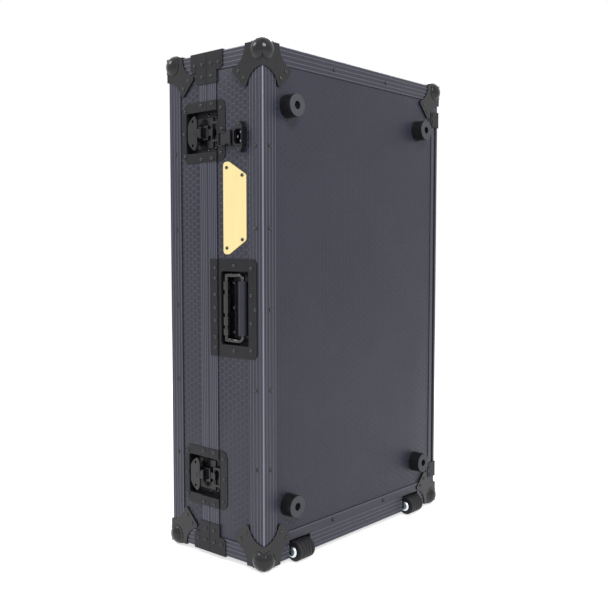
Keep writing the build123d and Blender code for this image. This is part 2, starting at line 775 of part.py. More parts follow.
for half, x, inward_x in (("base", X_FEET, -1), ("lid", X_LID, 1)):
    with BuildPart() as ball_corners:
        ball_corner((x, Y_HANDLE, Z_WHEEL), (inward_x, 1, 1), wide_up=half == "base")
        ball_corner((x, Y_HANDLE, Z_TOP), (inward_x, 1, -1))
        mirror(about=MID_Y)
    ball_corners.part.label = f"{half}_ball_corners"
    export_step(ball_corners.part, f"parts/{half}_ball_corners.step")


def bracket_outline(away_first):
    """Stepped bracket: its wide arm lies along the end, its leg along the rim."""
    start = PART_GAP / 2
    points = [
        (start, -BRACKET),
        (BRACKET_ARM, -BRACKET),
        (BRACKET_ARM, BRACKET_ARM_HIGH - BRACKET_CUT),
        (BRACKET_ARM - BRACKET_CUT, BRACKET_ARM_HIGH),
        (BRACKET_LEG, BRACKET_ARM_HIGH),
        (BRACKET_LEG, BRACKET_LEG_HIGH),
        (start, BRACKET_LEG_HIGH),
    ]
    if not away_first:
        points = [(y, x) for x, y in points]
    Polygon(*points, align=None)


for half, away, x in (("base", EAST, X_PART), ("lid", WEST, X_PART - PART_GAP / 2)):
    with BuildPart() as rim_brackets:
        corner = (x, Y_HANDLE, Z_WHEEL)
        for normal, side in ((SOUTH, UP), (DOWN, NORTH)):
            plane = facing(corner, normal, away, side)
            with BuildSketch(plane):
                bracket_outline(away_first=abs(plane.x_dir.X) > 0.5)
            extrude(amount=BRACKET)
        mirror(about=MID_Y)
        mirror(about=MID_Z)
    rim_brackets.part.label = f"{half}_rim_brackets"
    export_step(rim_brackets.part, f"parts/{half}_rim_brackets.step")

# Rubber feet with their screws, and the wheels in their housings

FOOT_YS = (Y_HANDLE + FOOT_SIDE_INSET, Y_FAR - LINER - FOOT_SIDE_INSET)
FOOT_ZS = (Z_WHEEL + FOOT_END_INSET, Z_TOP - FOOT_END_INSET)
FEET_PLANE = Plane(origin=(X_FEET, 0, 0), x_dir=NORTH, z_dir=EAST)
FOOT_PLACES = [(y, z) for y in FOOT_YS for z in FOOT_ZS]

with BuildPart() as rubber_feet:
    with BuildSketch(FEET_PLANE.offset(-SKIN)):
        with Locations(FOOT_PLACES):
            Circle(FOOT_D / 2)
    with BuildSketch(FEET_PLANE.offset(FOOT_HIGH)):
        with Locations(FOOT_PLACES):
            Circle(FOOT_FACE_D / 2)
    for low, high in zip(
        rubber_feet.pending_faces[: len(FOOT_PLACES)],
        rubber_feet.pending_faces[len(FOOT_PLACES) :],
    ):
        loft([low, high], clean=False)
    rubber_feet.pending_faces.clear()
    for y, z in FOOT_PLACES:
        deep = FOOT_HIGH - FOOT_HOLE_DEEP
        disc(FEET_PLANE, y, z, FOOT_HOLE_D / 2, deep, FOOT_HIGH, mode=Mode.SUBTRACT)
        disc(FEET_PLANE, y, z, FOOT_SCREW_D / 2, -SKIN, deep, mode=Mode.SUBTRACT)
rubber_feet.part.label = "rubber_feet"
export_step(rubber_feet.part, "parts/rubber_feet.step")

with BuildPart() as foot_screws:
    for y, z in FOOT_PLACES:
        seat = FOOT_HIGH - FOOT_HOLE_DEEP
        disc(FEET_PLANE, y, z, FOOT_HEAD_D / 2, seat, seat + FOOT_HEAD_HIGH)
        disc(FEET_PLANE, y, z, FOOT_SCREW_D / 2 - PIN_FIT, -SKIN, seat)
foot_screws.part.label = "foot_screws"
export_step(foot_screws.part, "parts/foot_screws.step")

AXLE_PLANE = Plane(origin=(AXLE_X, 0, AXLE_Z), x_dir=EAST, z_dir=SOUTH)

with BuildPart() as wheel_housings:
    for y in WHEEL_YS:
        out = HOUSING_HALF + HOUSING_WALL
        outer = (HOUSING_X - HOUSING_WALL, X_FEET - SKIN, y - out, y + out)
        slab(Plane.XY, *outer, Z_WHEEL + SKIN, HOUSING_Z + HOUSING_WALL)
        inner = (HOUSING_X, X_FEET, y - HOUSING_HALF, y + HOUSING_HALF)
        slab(Plane.XY, *inner, Z_WHEEL, HOUSING_Z, mode=Mode.SUBTRACT)
        # Two ears carry the axle just outside the face
        for ear in (-EAR_OUT, EAR_IN):
            plane = AXLE_PLANE.offset(-(y + ear + HOUSING_WALL))
            disc(plane, 0, 0, HOUSING_EAR_R, 0, HOUSING_WALL)
            back = HOUSING_X - AXLE_X
            slab(plane, back, 0, -HOUSING_EAR_R, HOUSING_EAR_R, 0, HOUSING_WALL)
        plane = AXLE_PLANE.offset(-(y + EAR_OUT))
        disc(plane, 0, 0, AXLE_D / 2 + PIN_FIT, 0, 2 * EAR_OUT, mode=Mode.SUBTRACT)
wheel_housings.part.label = "wheel_housings"
export_step(wheel_housings.part, "parts/wheel_housings.step")

with BuildPart() as axle_bolts:
    # Domed head on the handle side of each wheel and a nut on its far side
    for y in WHEEL_YS:
        disc(AXLE_PLANE.offset(EAR_OUT - y), 0, 0, HUB_CAP_R, 0, HUB_CAP_HIGH)
    head_faces = [y - EAR_OUT - HUB_CAP_HIGH for y in WHEEL_YS]
    rims = axle_bolts.edges().filter_by(GeomType.CIRCLE)
    fillet(rims.filter_by(lambda e: min(abs(e.center().Y - y) for y in head_faces) < 0.01), HUB_CAP_DOME)
    for y in WHEEL_YS:
        disc(AXLE_PLANE.offset(-(y + EAR_OUT)), 0, 0, AXLE_D / 2, 0, 2 * EAR_OUT)
        with BuildSketch(AXLE_PLANE.offset(-(y + EAR_OUT + HUB_CAP_HIGH))):
            RegularPolygon(NUT_FLAT_R, 6, major_radius=False)
        extrude(amount=HUB_CAP_HIGH)
axle_bolts.part.label = "axle_bolts"
export_step(axle_bolts.part, "parts/axle_bolts.step")

for name, y in zip(("wheel_handle_side", "wheel_far_side"), WHEEL_YS):
    with BuildPart() as wheel:
        disc(AXLE_PLANE.offset(-(y + WHEEL_WIDE / 2)), 0, 0, WHEEL_R, 0, WHEEL_WIDE)
        chamfer(wheel.edges().filter_by(GeomType.CIRCLE), WHEEL_GROOVE_DEEP)
        pitch = WHEEL_WIDE / (WHEEL_GROOVES + 1)
        for k in range(WHEEL_GROOVES):
            at = -(y + WHEEL_WIDE / 2) + pitch * (k + 1) - WHEEL_GROOVE_WIDE / 2
            with BuildSketch(AXLE_PLANE.offset(at)):
                Circle(WHEEL_R)
                Circle(WHEEL_R - WHEEL_GROOVE_DEEP, mode=Mode.SUBTRACT)
            extrude(amount=WHEEL_GROOVE_WIDE, mode=Mode.SUBTRACT)
        bore = AXLE_D / 2 + AXLE_FIT
        plane = AXLE_PLANE.offset(-(y + WHEEL_WIDE / 2))
        disc(plane, 0, 0, bore, 0, WHEEL_WIDE, mode=Mode.SUBTRACT)
    wheel.part.label = name
    export_step(wheel.part, f"parts/{name}.step")

# Recessed latch dishes, split along the parting line


def well_block(plane, side, reach, half, corner, h0, h1, mode=Mode.ADD):
    """Half of a well from the parting line, its two far corners rounded."""
    x0, x1 = sorted((side * PART_GAP / 2, side * reach))
    with BuildSketch(plane.offset(h0)) as outline:
        bar(x0, x1, -half, half)
        far = vertices().filter_by(lambda v: abs(v.X - side * reach) < 0.01)
        fillet(far, corner)
    extrude(outline.sketch, amount=h1 - h0, mode=mode)


def dish_half(plane, side, reach, well, step):
    """Half dish: flange over panel and rim, and the open-ended well; side is -1 for the lid."""
    low = -SKIN + DISH_SHEET
    for a0, a1, h0, h1 in (
        (step, reach, -SKIN, low),
        (step, step + DISH_SHEET, -SKIN, DISH_SHEET),
        (PART_GAP / 2, step + DISH_SHEET, 0, DISH_SHEET),
    ):
        x0, x1 = sorted((side * a0, side * a1))
        slab(plane, x0, x1, -DISH_HIGH / 2, DISH_HIGH / 2, h0, h1)
    half, sheet = WELL_HIGH / 2, DISH_SHEET
    well_block(plane, side, well + sheet, half + sheet, WELL_ROUND + sheet, -WELL_DEEP - sheet, low)
    well_block(plane, side, well, half, WELL_ROUND, -WELL_DEEP, DISH_SHEET, mode=Mode.SUBTRACT)
    # Outer corners, cut on the lid and rounded on the base
    with BuildSketch(plane.offset(-SKIN)) as cuts:
        for up in (-1, 1):
            x, y = side * reach, up * DISH_HIGH / 2
            if side < 0:
                Polygon((x, y), (x + DISH_CUT, y), (x, y - up * DISH_CUT), align=None)
            else:
                y0, y1 = sorted((y, y - up * DISH_ROUND))
                bar(x - DISH_ROUND, x, y0, y1)
                with Locations((x - DISH_ROUND, y - up * DISH_ROUND)):
                    Circle(DISH_ROUND, mode=Mode.SUBTRACT)
    extrude(cuts.sketch, amount=SKIN + DISH_SHEET, mode=Mode.SUBTRACT)


with BuildPart() as lid_latch_dishes:
    for plane in LATCH_PLANES.values():
        dish_half(plane, -1, DISH_LID, WELL_LID, PART_GAP + LID_RIM_LEG + SEAT_GAP)
lid_latch_dishes.part.label = "lid_latch_dishes"
export_step(lid_latch_dishes.part, "parts/lid_latch_dishes.step")

with BuildPart() as base_latch_dishes:
    for plane in LATCH_PLANES.values():
        dish_half(plane, 1, DISH_BASE, WELL_BASE, RIM_LEG + SEAT_GAP)
base_latch_dishes.part.label = "base_latch_dishes"
export_step(base_latch_dishes.part, "parts/base_latch_dishes.step")

# Keepers on the base side of each latch: a window in a raised plate

with BuildPart() as latch_keepers:
    for plane in LATCH_PLANES.values():
        x0, x1, half = KEEPER_AT, KEEPER_AT + KEEPER_LONG, KEEPER_HIGH / 2
        slab(plane, x0, x1, -half, half, -WELL_DEEP, -KEEPER_TOP)
        inner = half - KEEPER_SHEET
        under = -KEEPER_TOP - KEEPER_SHEET
        slab(plane, x0, x1, -inner, inner, -WELL_DEEP, under, mode=Mode.SUBTRACT)
        slab(
            plane,
            x0 + KEEPER_BAR,
            x1 - KEEPER_BAR,
            -half + KEEPER_END,
            half - KEEPER_END,
            under,
            -KEEPER_TOP,
            mode=Mode.SUBTRACT,
        )
latch_keepers.part.label = "latch_keepers"
export_step(latch_keepers.part, "parts/latch_keepers.step")

# Mechanism plates on the lid side, with the stud that each rotor turns on

MECH_TOP = -WELL_DEEP + MECH_PLATE
with BuildPart() as latch_mechanism_plates:
    for plane in LATCH_PLANES.values():
        half = MECH_PLATE_HIGH / 2
        slab(plane, -WELL_LID + MECH_PLATE_EDGE, -PART_GAP, -half, half, -WELL_DEEP, MECH_TOP)
        disc(plane, -ROTOR_AT, 0, STUD_R, MECH_TOP, MECH_TOP + STUD_HIGH)
latch_mechanism_plates.part.label = "latch_mechanism_plates"
export_step(latch_mechanism_plates.part, "parts/latch_mechanism_plates.step")

# Rotor, wing and hook of each latch

ROTOR_LOW = MECH_TOP + TURN_GAP
DISC_TOP = ROTOR_LOW + ROTOR_DISC_HIGH
BOSS_TOP = DISC_TOP + ROTOR_BOSS_HIGH
HOOK_LOW = DISC_TOP + HOOK_LIFT

for name, plane in LATCH_PLANES.items():
    with BuildPart() as rotor:
        disc(plane, -ROTOR_AT, 0, ROTOR_DISC_R, ROTOR_LOW, DISC_TOP)
        disc(plane, -ROTOR_AT, 0, ROTOR_BOSS_R, DISC_TOP, BOSS_TOP)
        deep = MECH_TOP + STUD_HIGH + SEAT_GAP
        disc(plane, -ROTOR_AT, 0, STUD_R + PIN_FIT, ROTOR_LOW, deep, mode=Mode.SUBTRACT)
        # Clevis with the wing's pin
        ear = (CLEVIS_WIDE - CLEVIS_GAP) / 2
        slab(
            plane,
            -ROTOR_AT - CLEVIS_R,
            -ROTOR_AT + CLEVIS_R,
            -CLEVIS_WIDE / 2,
            CLEVIS_WIDE / 2,
            BOSS_TOP,
            BOSS_TOP + CLEVIS_BRIDGE,
        )
        pin_axis = Plane(
            origin=plane.from_local_coords((-ROTOR_AT, -CLEVIS_WIDE / 2, WING_AXIS)),
            x_dir=plane.x_dir,
            z_dir=plane.y_dir,
        )
        side = 1 if pin_axis.y_dir.dot(plane.z_dir) > 0 else -1
        for from_end in (0, CLEVIS_WIDE - ear):
            disc(pin_axis.offset(from_end), 0, 0, CLEVIS_R, 0, ear)
            y0, y1 = sorted((0, side * (BOSS_TOP - WING_AXIS)))
            slab(pin_axis.offset(from_end), -CLEVIS_R, CLEVIS_R, y0, y1, 0, ear)
        disc(pin_axis, 0, 0, WING_PIN_R, 0, CLEVIS_WIDE)
    rotor.part.label = f"latch_{name}_rotor"
    export_step(rotor.part, f"parts/latch_{name}_rotor.step")

    with BuildPart() as wing:
        wing_low = WING_AXIS + WING_BARREL_R - WING_SHEET
        wing_top = wing_low + WING_SHEET
        end_x, body_x = -ROTOR_AT - WING_END_AT, -ROTOR_AT - WING_BODY_TO
        neck = CLEVIS_GAP / 2 - WING_SLACK
        with BuildSketch(plane.offset(wing_low)):
            with Locations((end_x, -WING_END_HALF), (end_x, WING_END_HALF)):
                Circle(WING_END_R)
            bar(end_x - WING_END_R, body_x, -WING_END_HALF, WING_END_HALF)
            # Short enough to turn inside the well
            with Locations((-ROTOR_AT, 0)):
                Circle(WING_SWEEP_R, mode=Mode.INTERSECT)
            bar(body_x, -ROTOR_AT, -neck, neck)
            hole_x = -ROTOR_AT - WING_HOLE_AT
            with Locations((hole_x, -WING_HOLE_HALF), (hole_x, WING_HOLE_HALF)):
                Circle(WING_HOLE_R, mode=Mode.SUBTRACT)
        extrude(amount=WING_SHEET)
        # Pressed ring in the middle of the wing
        ring_x, ring_top = -ROTOR_AT - WING_RING_AT, wing_top + WING_RING_HIGH
        disc(plane, ring_x, 0, WING_RING_R, wing_top, ring_top)
        disc(plane, ring_x, 0, WING_RING_HOLE_R, wing_top, ring_top, mode=Mode.SUBTRACT)
        barrel = Plane(
            origin=plane.from_local_coords((-ROTOR_AT, -neck, WING_AXIS)),
            x_dir=plane.x_dir,
            z_dir=plane.y_dir,
        )
        disc(barrel, 0, 0, WING_BARREL_R, 0, 2 * neck)
        disc(barrel, 0, 0, WING_PIN_R + PIN_FIT, 0, 2 * neck, mode=Mode.SUBTRACT)
    wing.part.label = f"latch_{name}_wing"
    export_step(wing.part, f"parts/latch_{name}_wing.step")

    with BuildPart() as hook:
        # Yoke round the rotor's boss, long enough for the hook's travel
        slot_r = ROTOR_BOSS_R + HOOK_FIT
        yoke_r = slot_r + HOOK_ARM
        bar_at = -ROTOR_AT + HOOK_BAR_AT
        with BuildSketch(plane.offset(HOOK_LOW)):
            with Locations((-ROTOR_AT - HOOK_TRAVEL, 0)):
                Circle(yoke_r)
            bar(-ROTOR_AT - HOOK_TRAVEL, bar_at + HOOK_BAR, -yoke_r, yoke_r)
            with Locations((-ROTOR_AT - HOOK_TRAVEL, 0), (-ROTOR_AT, 0)):
                Circle(slot_r, mode=Mode.SUBTRACT)
            bar(-ROTOR_AT - HOOK_TRAVEL, -ROTOR_AT, -slot_r, slot_r, mode=Mode.SUBTRACT)
        extrude(amount=HOOK_SHEET)
        bar_low = HOOK_LOW + HOOK_SHEET - HOOK_BAR_HIGH
        slab(plane, bar_at, bar_at + HOOK_BAR, -yoke_r, yoke_r, bar_low, bar_low + HOOK_BAR_HIGH)
        # Tongue under the keeper's near bar, with the nose up through its window
        nose_at = KEEPER_AT + KEEPER_BAR + HOOK_FIT
        half = HOOK_TONGUE_WIDE / 2
        tongue_top = -KEEPER_TOP - KEEPER_SHEET - HOOK_FIT
        slab(plane, bar_at, nose_at + HOOK_NOSE, -half, half, bar_low, tongue_top)
        nose_top = HOOK_NOSE_HIGH - KEEPER_TOP
        slab(plane, nose_at, nose_at + HOOK_NOSE, -half, half, bar_low, nose_top)
    hook.part.label = f"latch_{name}_hook"
    export_step(hook.part, f"parts/latch_{name}_hook.step")

# Handles: dish, hinge, bail and grip


def grip_plane(plane, y, height):
    """Plane square to a handle's hinge line, at y along it and this height, x as the handle's."""
    origin = plane.from_local_coords((0, y, height))
    return Plane(origin=origin, x_dir=plane.x_dir, z_dir=plane.y_dir)


for name, plane in (("side", SIDE_GRIP), ("end", END_GRIP)):
    with BuildPart() as grip_dish:
        half = GRIP_DISH_HIGH / 2
        rim_edge = RIM_LEG + SEAT_GAP
        leg_edge = DEPTH - LID_DEPTH - EDGE_LEG - SEAT_GAP
        low = -SKIN + DISH_SHEET
        slab(plane, GRIP_DISH_FROM, rim_edge + DISH_SHEET, -half, half, 0, DISH_SHEET)
        slab(plane, leg_edge - DISH_SHEET, GRIP_DISH_TO, -half, half, 0, DISH_SHEET)
        slab(plane, rim_edge, leg_edge, -half, half, -SKIN, low)
        slab(plane, rim_edge, rim_edge + DISH_SHEET, -half, half, -SKIN, DISH_SHEET)
        slab(plane, leg_edge - DISH_SHEET, leg_edge, -half, half, -SKIN, DISH_SHEET)
        corners = grip_dish.edges().filter_by(lambda e: abs(e.length - DISH_SHEET) < 0.01)
        corners = [
            e
            for e in corners
            if abs(abs(plane.to_local_coords(e.center()).Y) - half) < 0.01
            and abs(plane.to_local_coords(e.center()).X - GRIP_DISH_TO) < 0.01
        ]
        fillet(corners, GRIP_CORNER_R)
        middle = (GRIP_WELL_FROM + GRIP_WELL_TO) / 2
        wide, high = GRIP_WELL_TO - GRIP_WELL_FROM, GRIP_WELL_HIGH
        sheet = 2 * DISH_SHEET
        with BuildSketch(plane.offset(-GRIP_WELL_DEEP - DISH_SHEET)):
            with Locations((middle, 0)):
                RectangleRounded(wide + sheet, high + sheet, GRIP_WELL_R + DISH_SHEET)
        extrude(amount=GRIP_WELL_DEEP + DISH_SHEET + low)
        with BuildSketch(plane.offset(-GRIP_WELL_DEEP)):
            with Locations((middle, 0)):
                RectangleRounded(wide, high, GRIP_WELL_R)
        extrude(amount=GRIP_WELL_DEEP + DISH_SHEET, mode=Mode.SUBTRACT)
    grip_dish.part.label = f"{name}_handle_dish"
    export_step(grip_dish.part, f"parts/{name}_handle_dish.step")

    with BuildPart() as hinge:
        x0 = GRIP_AXIS_AT - BARREL_R
        floor = -GRIP_WELL_DEEP
        half = HINGE_HIGH / 2
        slab(plane, x0, x0 + HINGE_FOOT, -half, half, floor, floor + HINGE_SHEET)
        for y0, y1 in KNUCKLES:
            slab(plane, x0, x0 + HINGE_SHEET, y0, y1, floor, -GRIP_AXIS_DEEP)
            disc(grip_plane(plane, y0, -GRIP_AXIS_DEEP), GRIP_AXIS_AT, 0, BARREL_R, 0, y1 - y0)
        line = grip_plane(plane, -half, -GRIP_AXIS_DEEP)
        bore = ROD_R + ROD_FIT
        disc(line, GRIP_AXIS_AT, 0, bore, 0, HINGE_HIGH, mode=Mode.SUBTRACT)
    hinge.part.label = f"{name}_handle_hinge"
    export_step(hinge.part, f"parts/{name}_handle_hinge.step")

    with BuildPart() as bail:
        deep = -GRIP_AXIS_DEEP
        disc(grip_plane(plane, -ARM_HALF, deep), GRIP_AXIS_AT, 0, ROD_R, 0, 2 * ARM_HALF)
        path_plane = plane.offset(deep)
        with BuildLine(path_plane) as bail_path:
            FilletPolyline(
                (GRIP_AXIS_AT, -ARM_HALF),
                (GRIP_AT, -ARM_HALF),
                (GRIP_AT, ARM_HALF),
                (GRIP_AXIS_AT, ARM_HALF),
                radius=ARM_BEND_R,
            )
        with BuildSketch(
            Plane(
                origin=path_plane.from_local_coords((GRIP_AXIS_AT, -ARM_HALF, 0)),
                x_dir=plane.y_dir,
                z_dir=plane.x_dir,
            )
        ):
            Circle(ROD_R)
        sweep(path=bail_path.wires()[0])
    bail.part.label = f"{name}_handle_bail"
    export_step(bail.part, f"parts/{name}_handle_bail.step")

    with BuildPart() as grip:
        line = grip_plane(plane, -GRIP_HALF, -GRIP_AXIS_DEEP)
        disc(line, GRIP_AT, 0, GRIP_R, 0, 2 * GRIP_HALF)
        chamfer(grip.edges().filter_by(GeomType.CIRCLE), GRIP_END_CUT)
        disc(line, GRIP_AT, 0, ROD_R, 0, 2 * GRIP_HALF, mode=Mode.SUBTRACT)
    grip.part.label = f"{name}_handle_grip"
    export_step(grip.part, f"parts/{name}_handle_grip.step")

# Mains inlet and its hinged cover


def inlet_outline(wide, high):
    """Socket outline with two cut corners on the hinge side."""
    w, h, c = wide / 2, high / 2, INLET_CHAMFER
    Polygon((w, -h), (w, h), (c - w, h), (-w, h - c), (-w, c - h), (c - w, -h), align=None)


with BuildPart() as inlet_body:
    # Rhombic flange with its two screw ears, standing on the panel
    with BuildSketch(INLET_PLANE.offset(-SKIN)):
        wide, tip, high = INLET_WIDE / 2, INLET_EAR_TIP / 2, INLET_EAR_HALF
        shoulder = INLET_HIGH / 2 - INLET_SHOULDER
        with BuildLine():
            Polyline(
                (wide, -shoulder),
                (wide, shoulder),
                (tip, high),
                (-tip, high),
                (-wide, shoulder),
                (-wide, -shoulder),
                (-tip, -high),
                (tip, -high),
                close=True,
            )
        make_face()
    extrude(amount=SKIN + INLET_EAR_OUT)
    # Hinge block beside the socket
    axis_x = -COVER_AXIS_BACK
    block_top = COVER_AXIS_OUT - COVER_HINGE_R - CUT_GAP
    slab(
        INLET_PLANE,
        axis_x - COVER_BLOCK_BACK,
        -INLET_WIDE / 2,
        -COVER_EAR_HALF,
        COVER_EAR_HALF,
        -SKIN,
        block_top,
    )
    with BuildSketch(INLET_PLANE.offset(-INLET_BACK)):
        inlet_outline(INLET_WIDE, INLET_HIGH)
    extrude(amount=INLET_BACK + INLET_OUT)
    with BuildSketch(INLET_PLANE.offset(INLET_OUT)):
        inlet_outline(INLET_WIDE - 2 * INLET_WALL, INLET_HIGH - 2 * INLET_WALL)
    extrude(amount=-INLET_DEEP, mode=Mode.SUBTRACT)
    # Two hinge ears with the pin, at the ends of the block
    ear_in, ear_out = COVER_ARM + CUT_GAP, COVER_EAR_HALF
    for low, high in ((-ear_out, -ear_in), (ear_in, ear_out)):
        line = Plane(
            origin=INLET_PLANE.from_local_coords((axis_x, low, COVER_AXIS_OUT)),
            x_dir=EAST,
            z_dir=INLET_PLANE.y_dir,
        )
        disc(line, 0, 0, COVER_HINGE_R, 0, high - low)
        side = COVER_HINGE_R
        slab(INLET_PLANE, axis_x - side, axis_x + side, low, high, -SKIN, COVER_AXIS_OUT)
    line = Plane(
        origin=INLET_PLANE.from_local_coords((axis_x, -COVER_ARM - 1, COVER_AXIS_OUT)),
        x_dir=EAST,
        z_dir=INLET_PLANE.y_dir,
    )
    disc(line, 0, 0, COVER_PIN_R, 0, 2 * COVER_ARM + 2)
inlet_body.part.label = "inlet_body"
export_step(inlet_body.part, "parts/inlet_body.step")

with BuildPart() as inlet_pins:
    floor = INLET_OUT - INLET_DEEP
    places = [(-PIN_EARTH_SHIFT / 2, 0)] + [(PIN_EARTH_SHIFT, up * PIN_PITCH) for up in (-1, 1)]
    for x, y in places:
        slab(
            INLET_PLANE,
            x - PIN_THICK / 2,
            x + PIN_THICK / 2,
            y - PIN_WIDE / 2,
            y + PIN_WIDE / 2,
            floor,
            floor + PIN_LONG,
        )
inlet_pins.part.label = "inlet_pins"
export_step(inlet_pins.part, "parts/inlet_pins.step")

with BuildPart() as inlet_cover:
    # Shallow cup, open away from the case while it is folded back
    axis_x = -COVER_AXIS_BACK
    far, near = axis_x - COVER_REACH_TO, axis_x - COVER_REACH_FROM
    top = COVER_AXIS_OUT - (INLET_OUT - COVER_AXIS_OUT) - CUT_GAP
    bottom = top - COVER_DEEP
    half = COVER_HIGH / 2

    def cup(inset):
        cut = COVER_CHAMFER - inset / 2
        Polygon(
            (far + inset, -half + inset),
            (near - inset - cut, -half + inset),
            (near - inset, -half + inset + cut),
            (near - inset, half - inset - cut),
            (near - inset - cut, half - inset),
            (far + inset, half - inset),
            align=None,
        )

    with BuildSketch(INLET_PLANE.offset(bottom)):
        cup(0)
    extrude(amount=COVER_DEEP)
    with BuildSketch(INLET_PLANE.offset(bottom + COVER_SHEET)):
        cup(COVER_SHEET)
    extrude(amount=COVER_DEEP, mode=Mode.SUBTRACT)
    # Arm to the hinge barrel
    arm = (-COVER_ARM, COVER_ARM, top - COVER_SHEET)
    riser = (axis_x - COVER_RISE_FROM, axis_x - COVER_RISE_TO)
    slab(INLET_PLANE, near - COVER_SHEET, riser[1], *arm, top)
    slab(INLET_PLANE, *riser, *arm, COVER_AXIS_OUT)
    line = Plane(
        origin=INLET_PLANE.from_local_coords((axis_x, -COVER_ARM, COVER_AXIS_OUT)),
        x_dir=EAST,
        z_dir=INLET_PLANE.y_dir,
    )
    disc(line, 0, 0, COVER_HINGE_R, 0, 2 * COVER_ARM)
    disc(line, 0, 0, COVER_PIN_R + PIN_FIT, 0, 2 * COVER_ARM, mode=Mode.SUBTRACT)
inlet_cover.part.label = "inlet_cover"
export_step(inlet_cover.part, "parts/inlet_cover.step")

# Bare badge plate on the handle side

with BuildPart() as badge_plate:
    plane = Plane(origin=(X_PART, Y_HANDLE, Z_TOP - BADGE_FROM_TOP), x_dir=EAST, z_dir=SOUTH)
    with BuildSketch(plane.offset(-SKIN)):
        with BuildLine():
            Polyline(
                (BADGE_FROM, 0),
                (BADGE_FROM, -BADGE_LONG),
                (BADGE_TO - BADGE_CUT_BACK, -BADGE_LONG),
                (BADGE_TO, BADGE_CUT_END - BADGE_LONG),
                (BADGE_TO, -BADGE_CUT_END),
                (BADGE_TO - BADGE_CUT_BACK, 0),
                close=True,
            )
        make_face()
    extrude(amount=BADGE_SHEET)
    upright = badge_plate.edges().filter_by(Axis.Y)
    fillet(upright, BADGE_ROUND)
badge_plate.part.label = "badge_plate"
export_step(badge_plate.part, "parts/badge_plate.step")

# Foam linings: pads glued along the panels between the dishes, then floor and walls

INSIDE = LINER + FOAM_GAP
IN_Y0, IN_Y1 = Y_HANDLE + INSIDE, Y_FAR - INSIDE
IN_Z0, IN_Z1 = Z_WHEEL + INSIDE, Z_TOP - INSIDE
BEHIND = FOAM_PAD + FOAM_JOINT
INNER_Y = (IN_Y0 + BEHIND, IN_Y1 - BEHIND)
INNER_Z = (IN_Z0 + BEHIND, IN_Z1 - BEHIND)


def free_spans(low, high, wells):
    """Stretches from low to high between the wells, each given as its middle and half size."""
    spans = []
    for middle, half in sorted(wells):
        room = half + DISH_SHEET + FOAM_CLEAR
        spans.append((low, middle - room))
        low = middle + room
    return spans + [(low, high)]


def side_pads(x0, x1, near, far):
    """Pads along the handle side and the far side."""
    for y0, y1, wells in ((IN_Y0, IN_Y0 + FOAM_PAD, near), (IN_Y1 - FOAM_PAD, IN_Y1, far)):
        for z0, z1 in free_spans(IN_Z0, IN_Z1, wells):
            slab(Plane.XY, x0, x1, y0, y1, z0, z1)


def bay_walls(x0, x1, slots):
    """Four walls of the controller's bay, the long ones parted by open finger slots."""
    y0, y1 = IN_Y0 + TRAY_WALL, IN_Y1 - TRAY_WALL
    for z0, z1 in ((INNER_Z[0], IN_Z0 + TRAY_WALL), (IN_Z1 - TRAY_WALL, INNER_Z[1])):
        slab(Plane.XY, x0, x1, y0 + FOAM_JOINT, y1 - FOAM_JOINT, z0, z1)
    marks = [z + step for z in slots for step in (-SLOT_HALF, SLOT_HALF)]
    marks = [INNER_Z[0], *marks, INNER_Z[1]]
    for back, face in ((INNER_Y[0], y0), (INNER_Y[1], y1)):
        for z0, z1 in zip(marks[::2], marks[1::2]):
            with BuildSketch(Plane.YZ.offset(x0)) as wall:
                bar(*sorted((back, face)), z0, z1)
                at_slot = vertices().filter_by(
                    lambda v: abs(v.X - face) < 0.01 and INNER_Z[0] < v.Y < INNER_Z[1]
                )
                if slots:
                    fillet(at_slot, SLOT_ROUND)
            extrude(wall.sketch, amount=x1 - x0)


LATCH_HALF = WELL_HIGH / 2
NEAR_LATCHES = [(LATCH_SIDES[name][2], LATCH_HALF) for name in ("handle_low", "handle_high")]
FAR_LATCHES = [(LATCH_SIDES[name][2], LATCH_HALF) for name in ("far_low", "far_high")]

with BuildPart() as base_foam:
    x_rim, x_back = X_PART + FOAM_RIM_DROP, X_FEET - INSIDE
    x_floor = x_back - TRAY_FLOOR
    side_pads(x_rim, x_back, [*NEAR_LATCHES, (Z_MID, GRIP_WELL_HIGH / 2)], FAR_LATCHES)
    for y0, y1 in free_spans(*INNER_Y, [((Y_HANDLE + Y_FAR) / 2, GRIP_WELL_HIGH / 2)]):
        slab(Plane.XY, x_rim, x_back, y0, y1, IN_Z1 - FOAM_PAD, IN_Z1)
    x_wheels = HOUSING_X - HOUSING_WALL - FOAM_CLEAR
    slab(Plane.XY, x_rim, x_wheels, *INNER_Y, IN_Z0, IN_Z0 + FOAM_PAD)
    z_wheels = HOUSING_Z + HOUSING_WALL + FOAM_CLEAR
    slab(Plane.XY, x_floor, x_back, *INNER_Y, z_wheels, INNER_Z[1])
    bay_walls(x_rim, x_floor - FOAM_JOINT, (Z_MID - SLOT_AT, Z_MID + SLOT_AT))
base_foam.part.label = "base_foam"
export_step(base_foam.part, "parts/base_foam.step")

with BuildPart() as lid_foam:
    x_back, x_rim = X_LID + INSIDE, X_PART - FOAM_RIM_DROP
    side_pads(x_back, x_rim, NEAR_LATCHES, FAR_LATCHES)
    for z0, z1 in ((IN_Z0, IN_Z0 + FOAM_PAD), (IN_Z1 - FOAM_PAD, IN_Z1)):
        slab(Plane.XY, x_back, x_rim, *INNER_Y, z0, z1)
    slab(Plane.XY, x_back, x_back + LID_PAD, *INNER_Y, *INNER_Z)
    bay_walls(x_back + LID_PAD + FOAM_JOINT, x_rim, ())
lid_foam.part.label = "lid_foam"
export_step(lid_foam.part, "parts/lid_foam.step")
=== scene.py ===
from math import cos, radians, sin, sqrt, tau

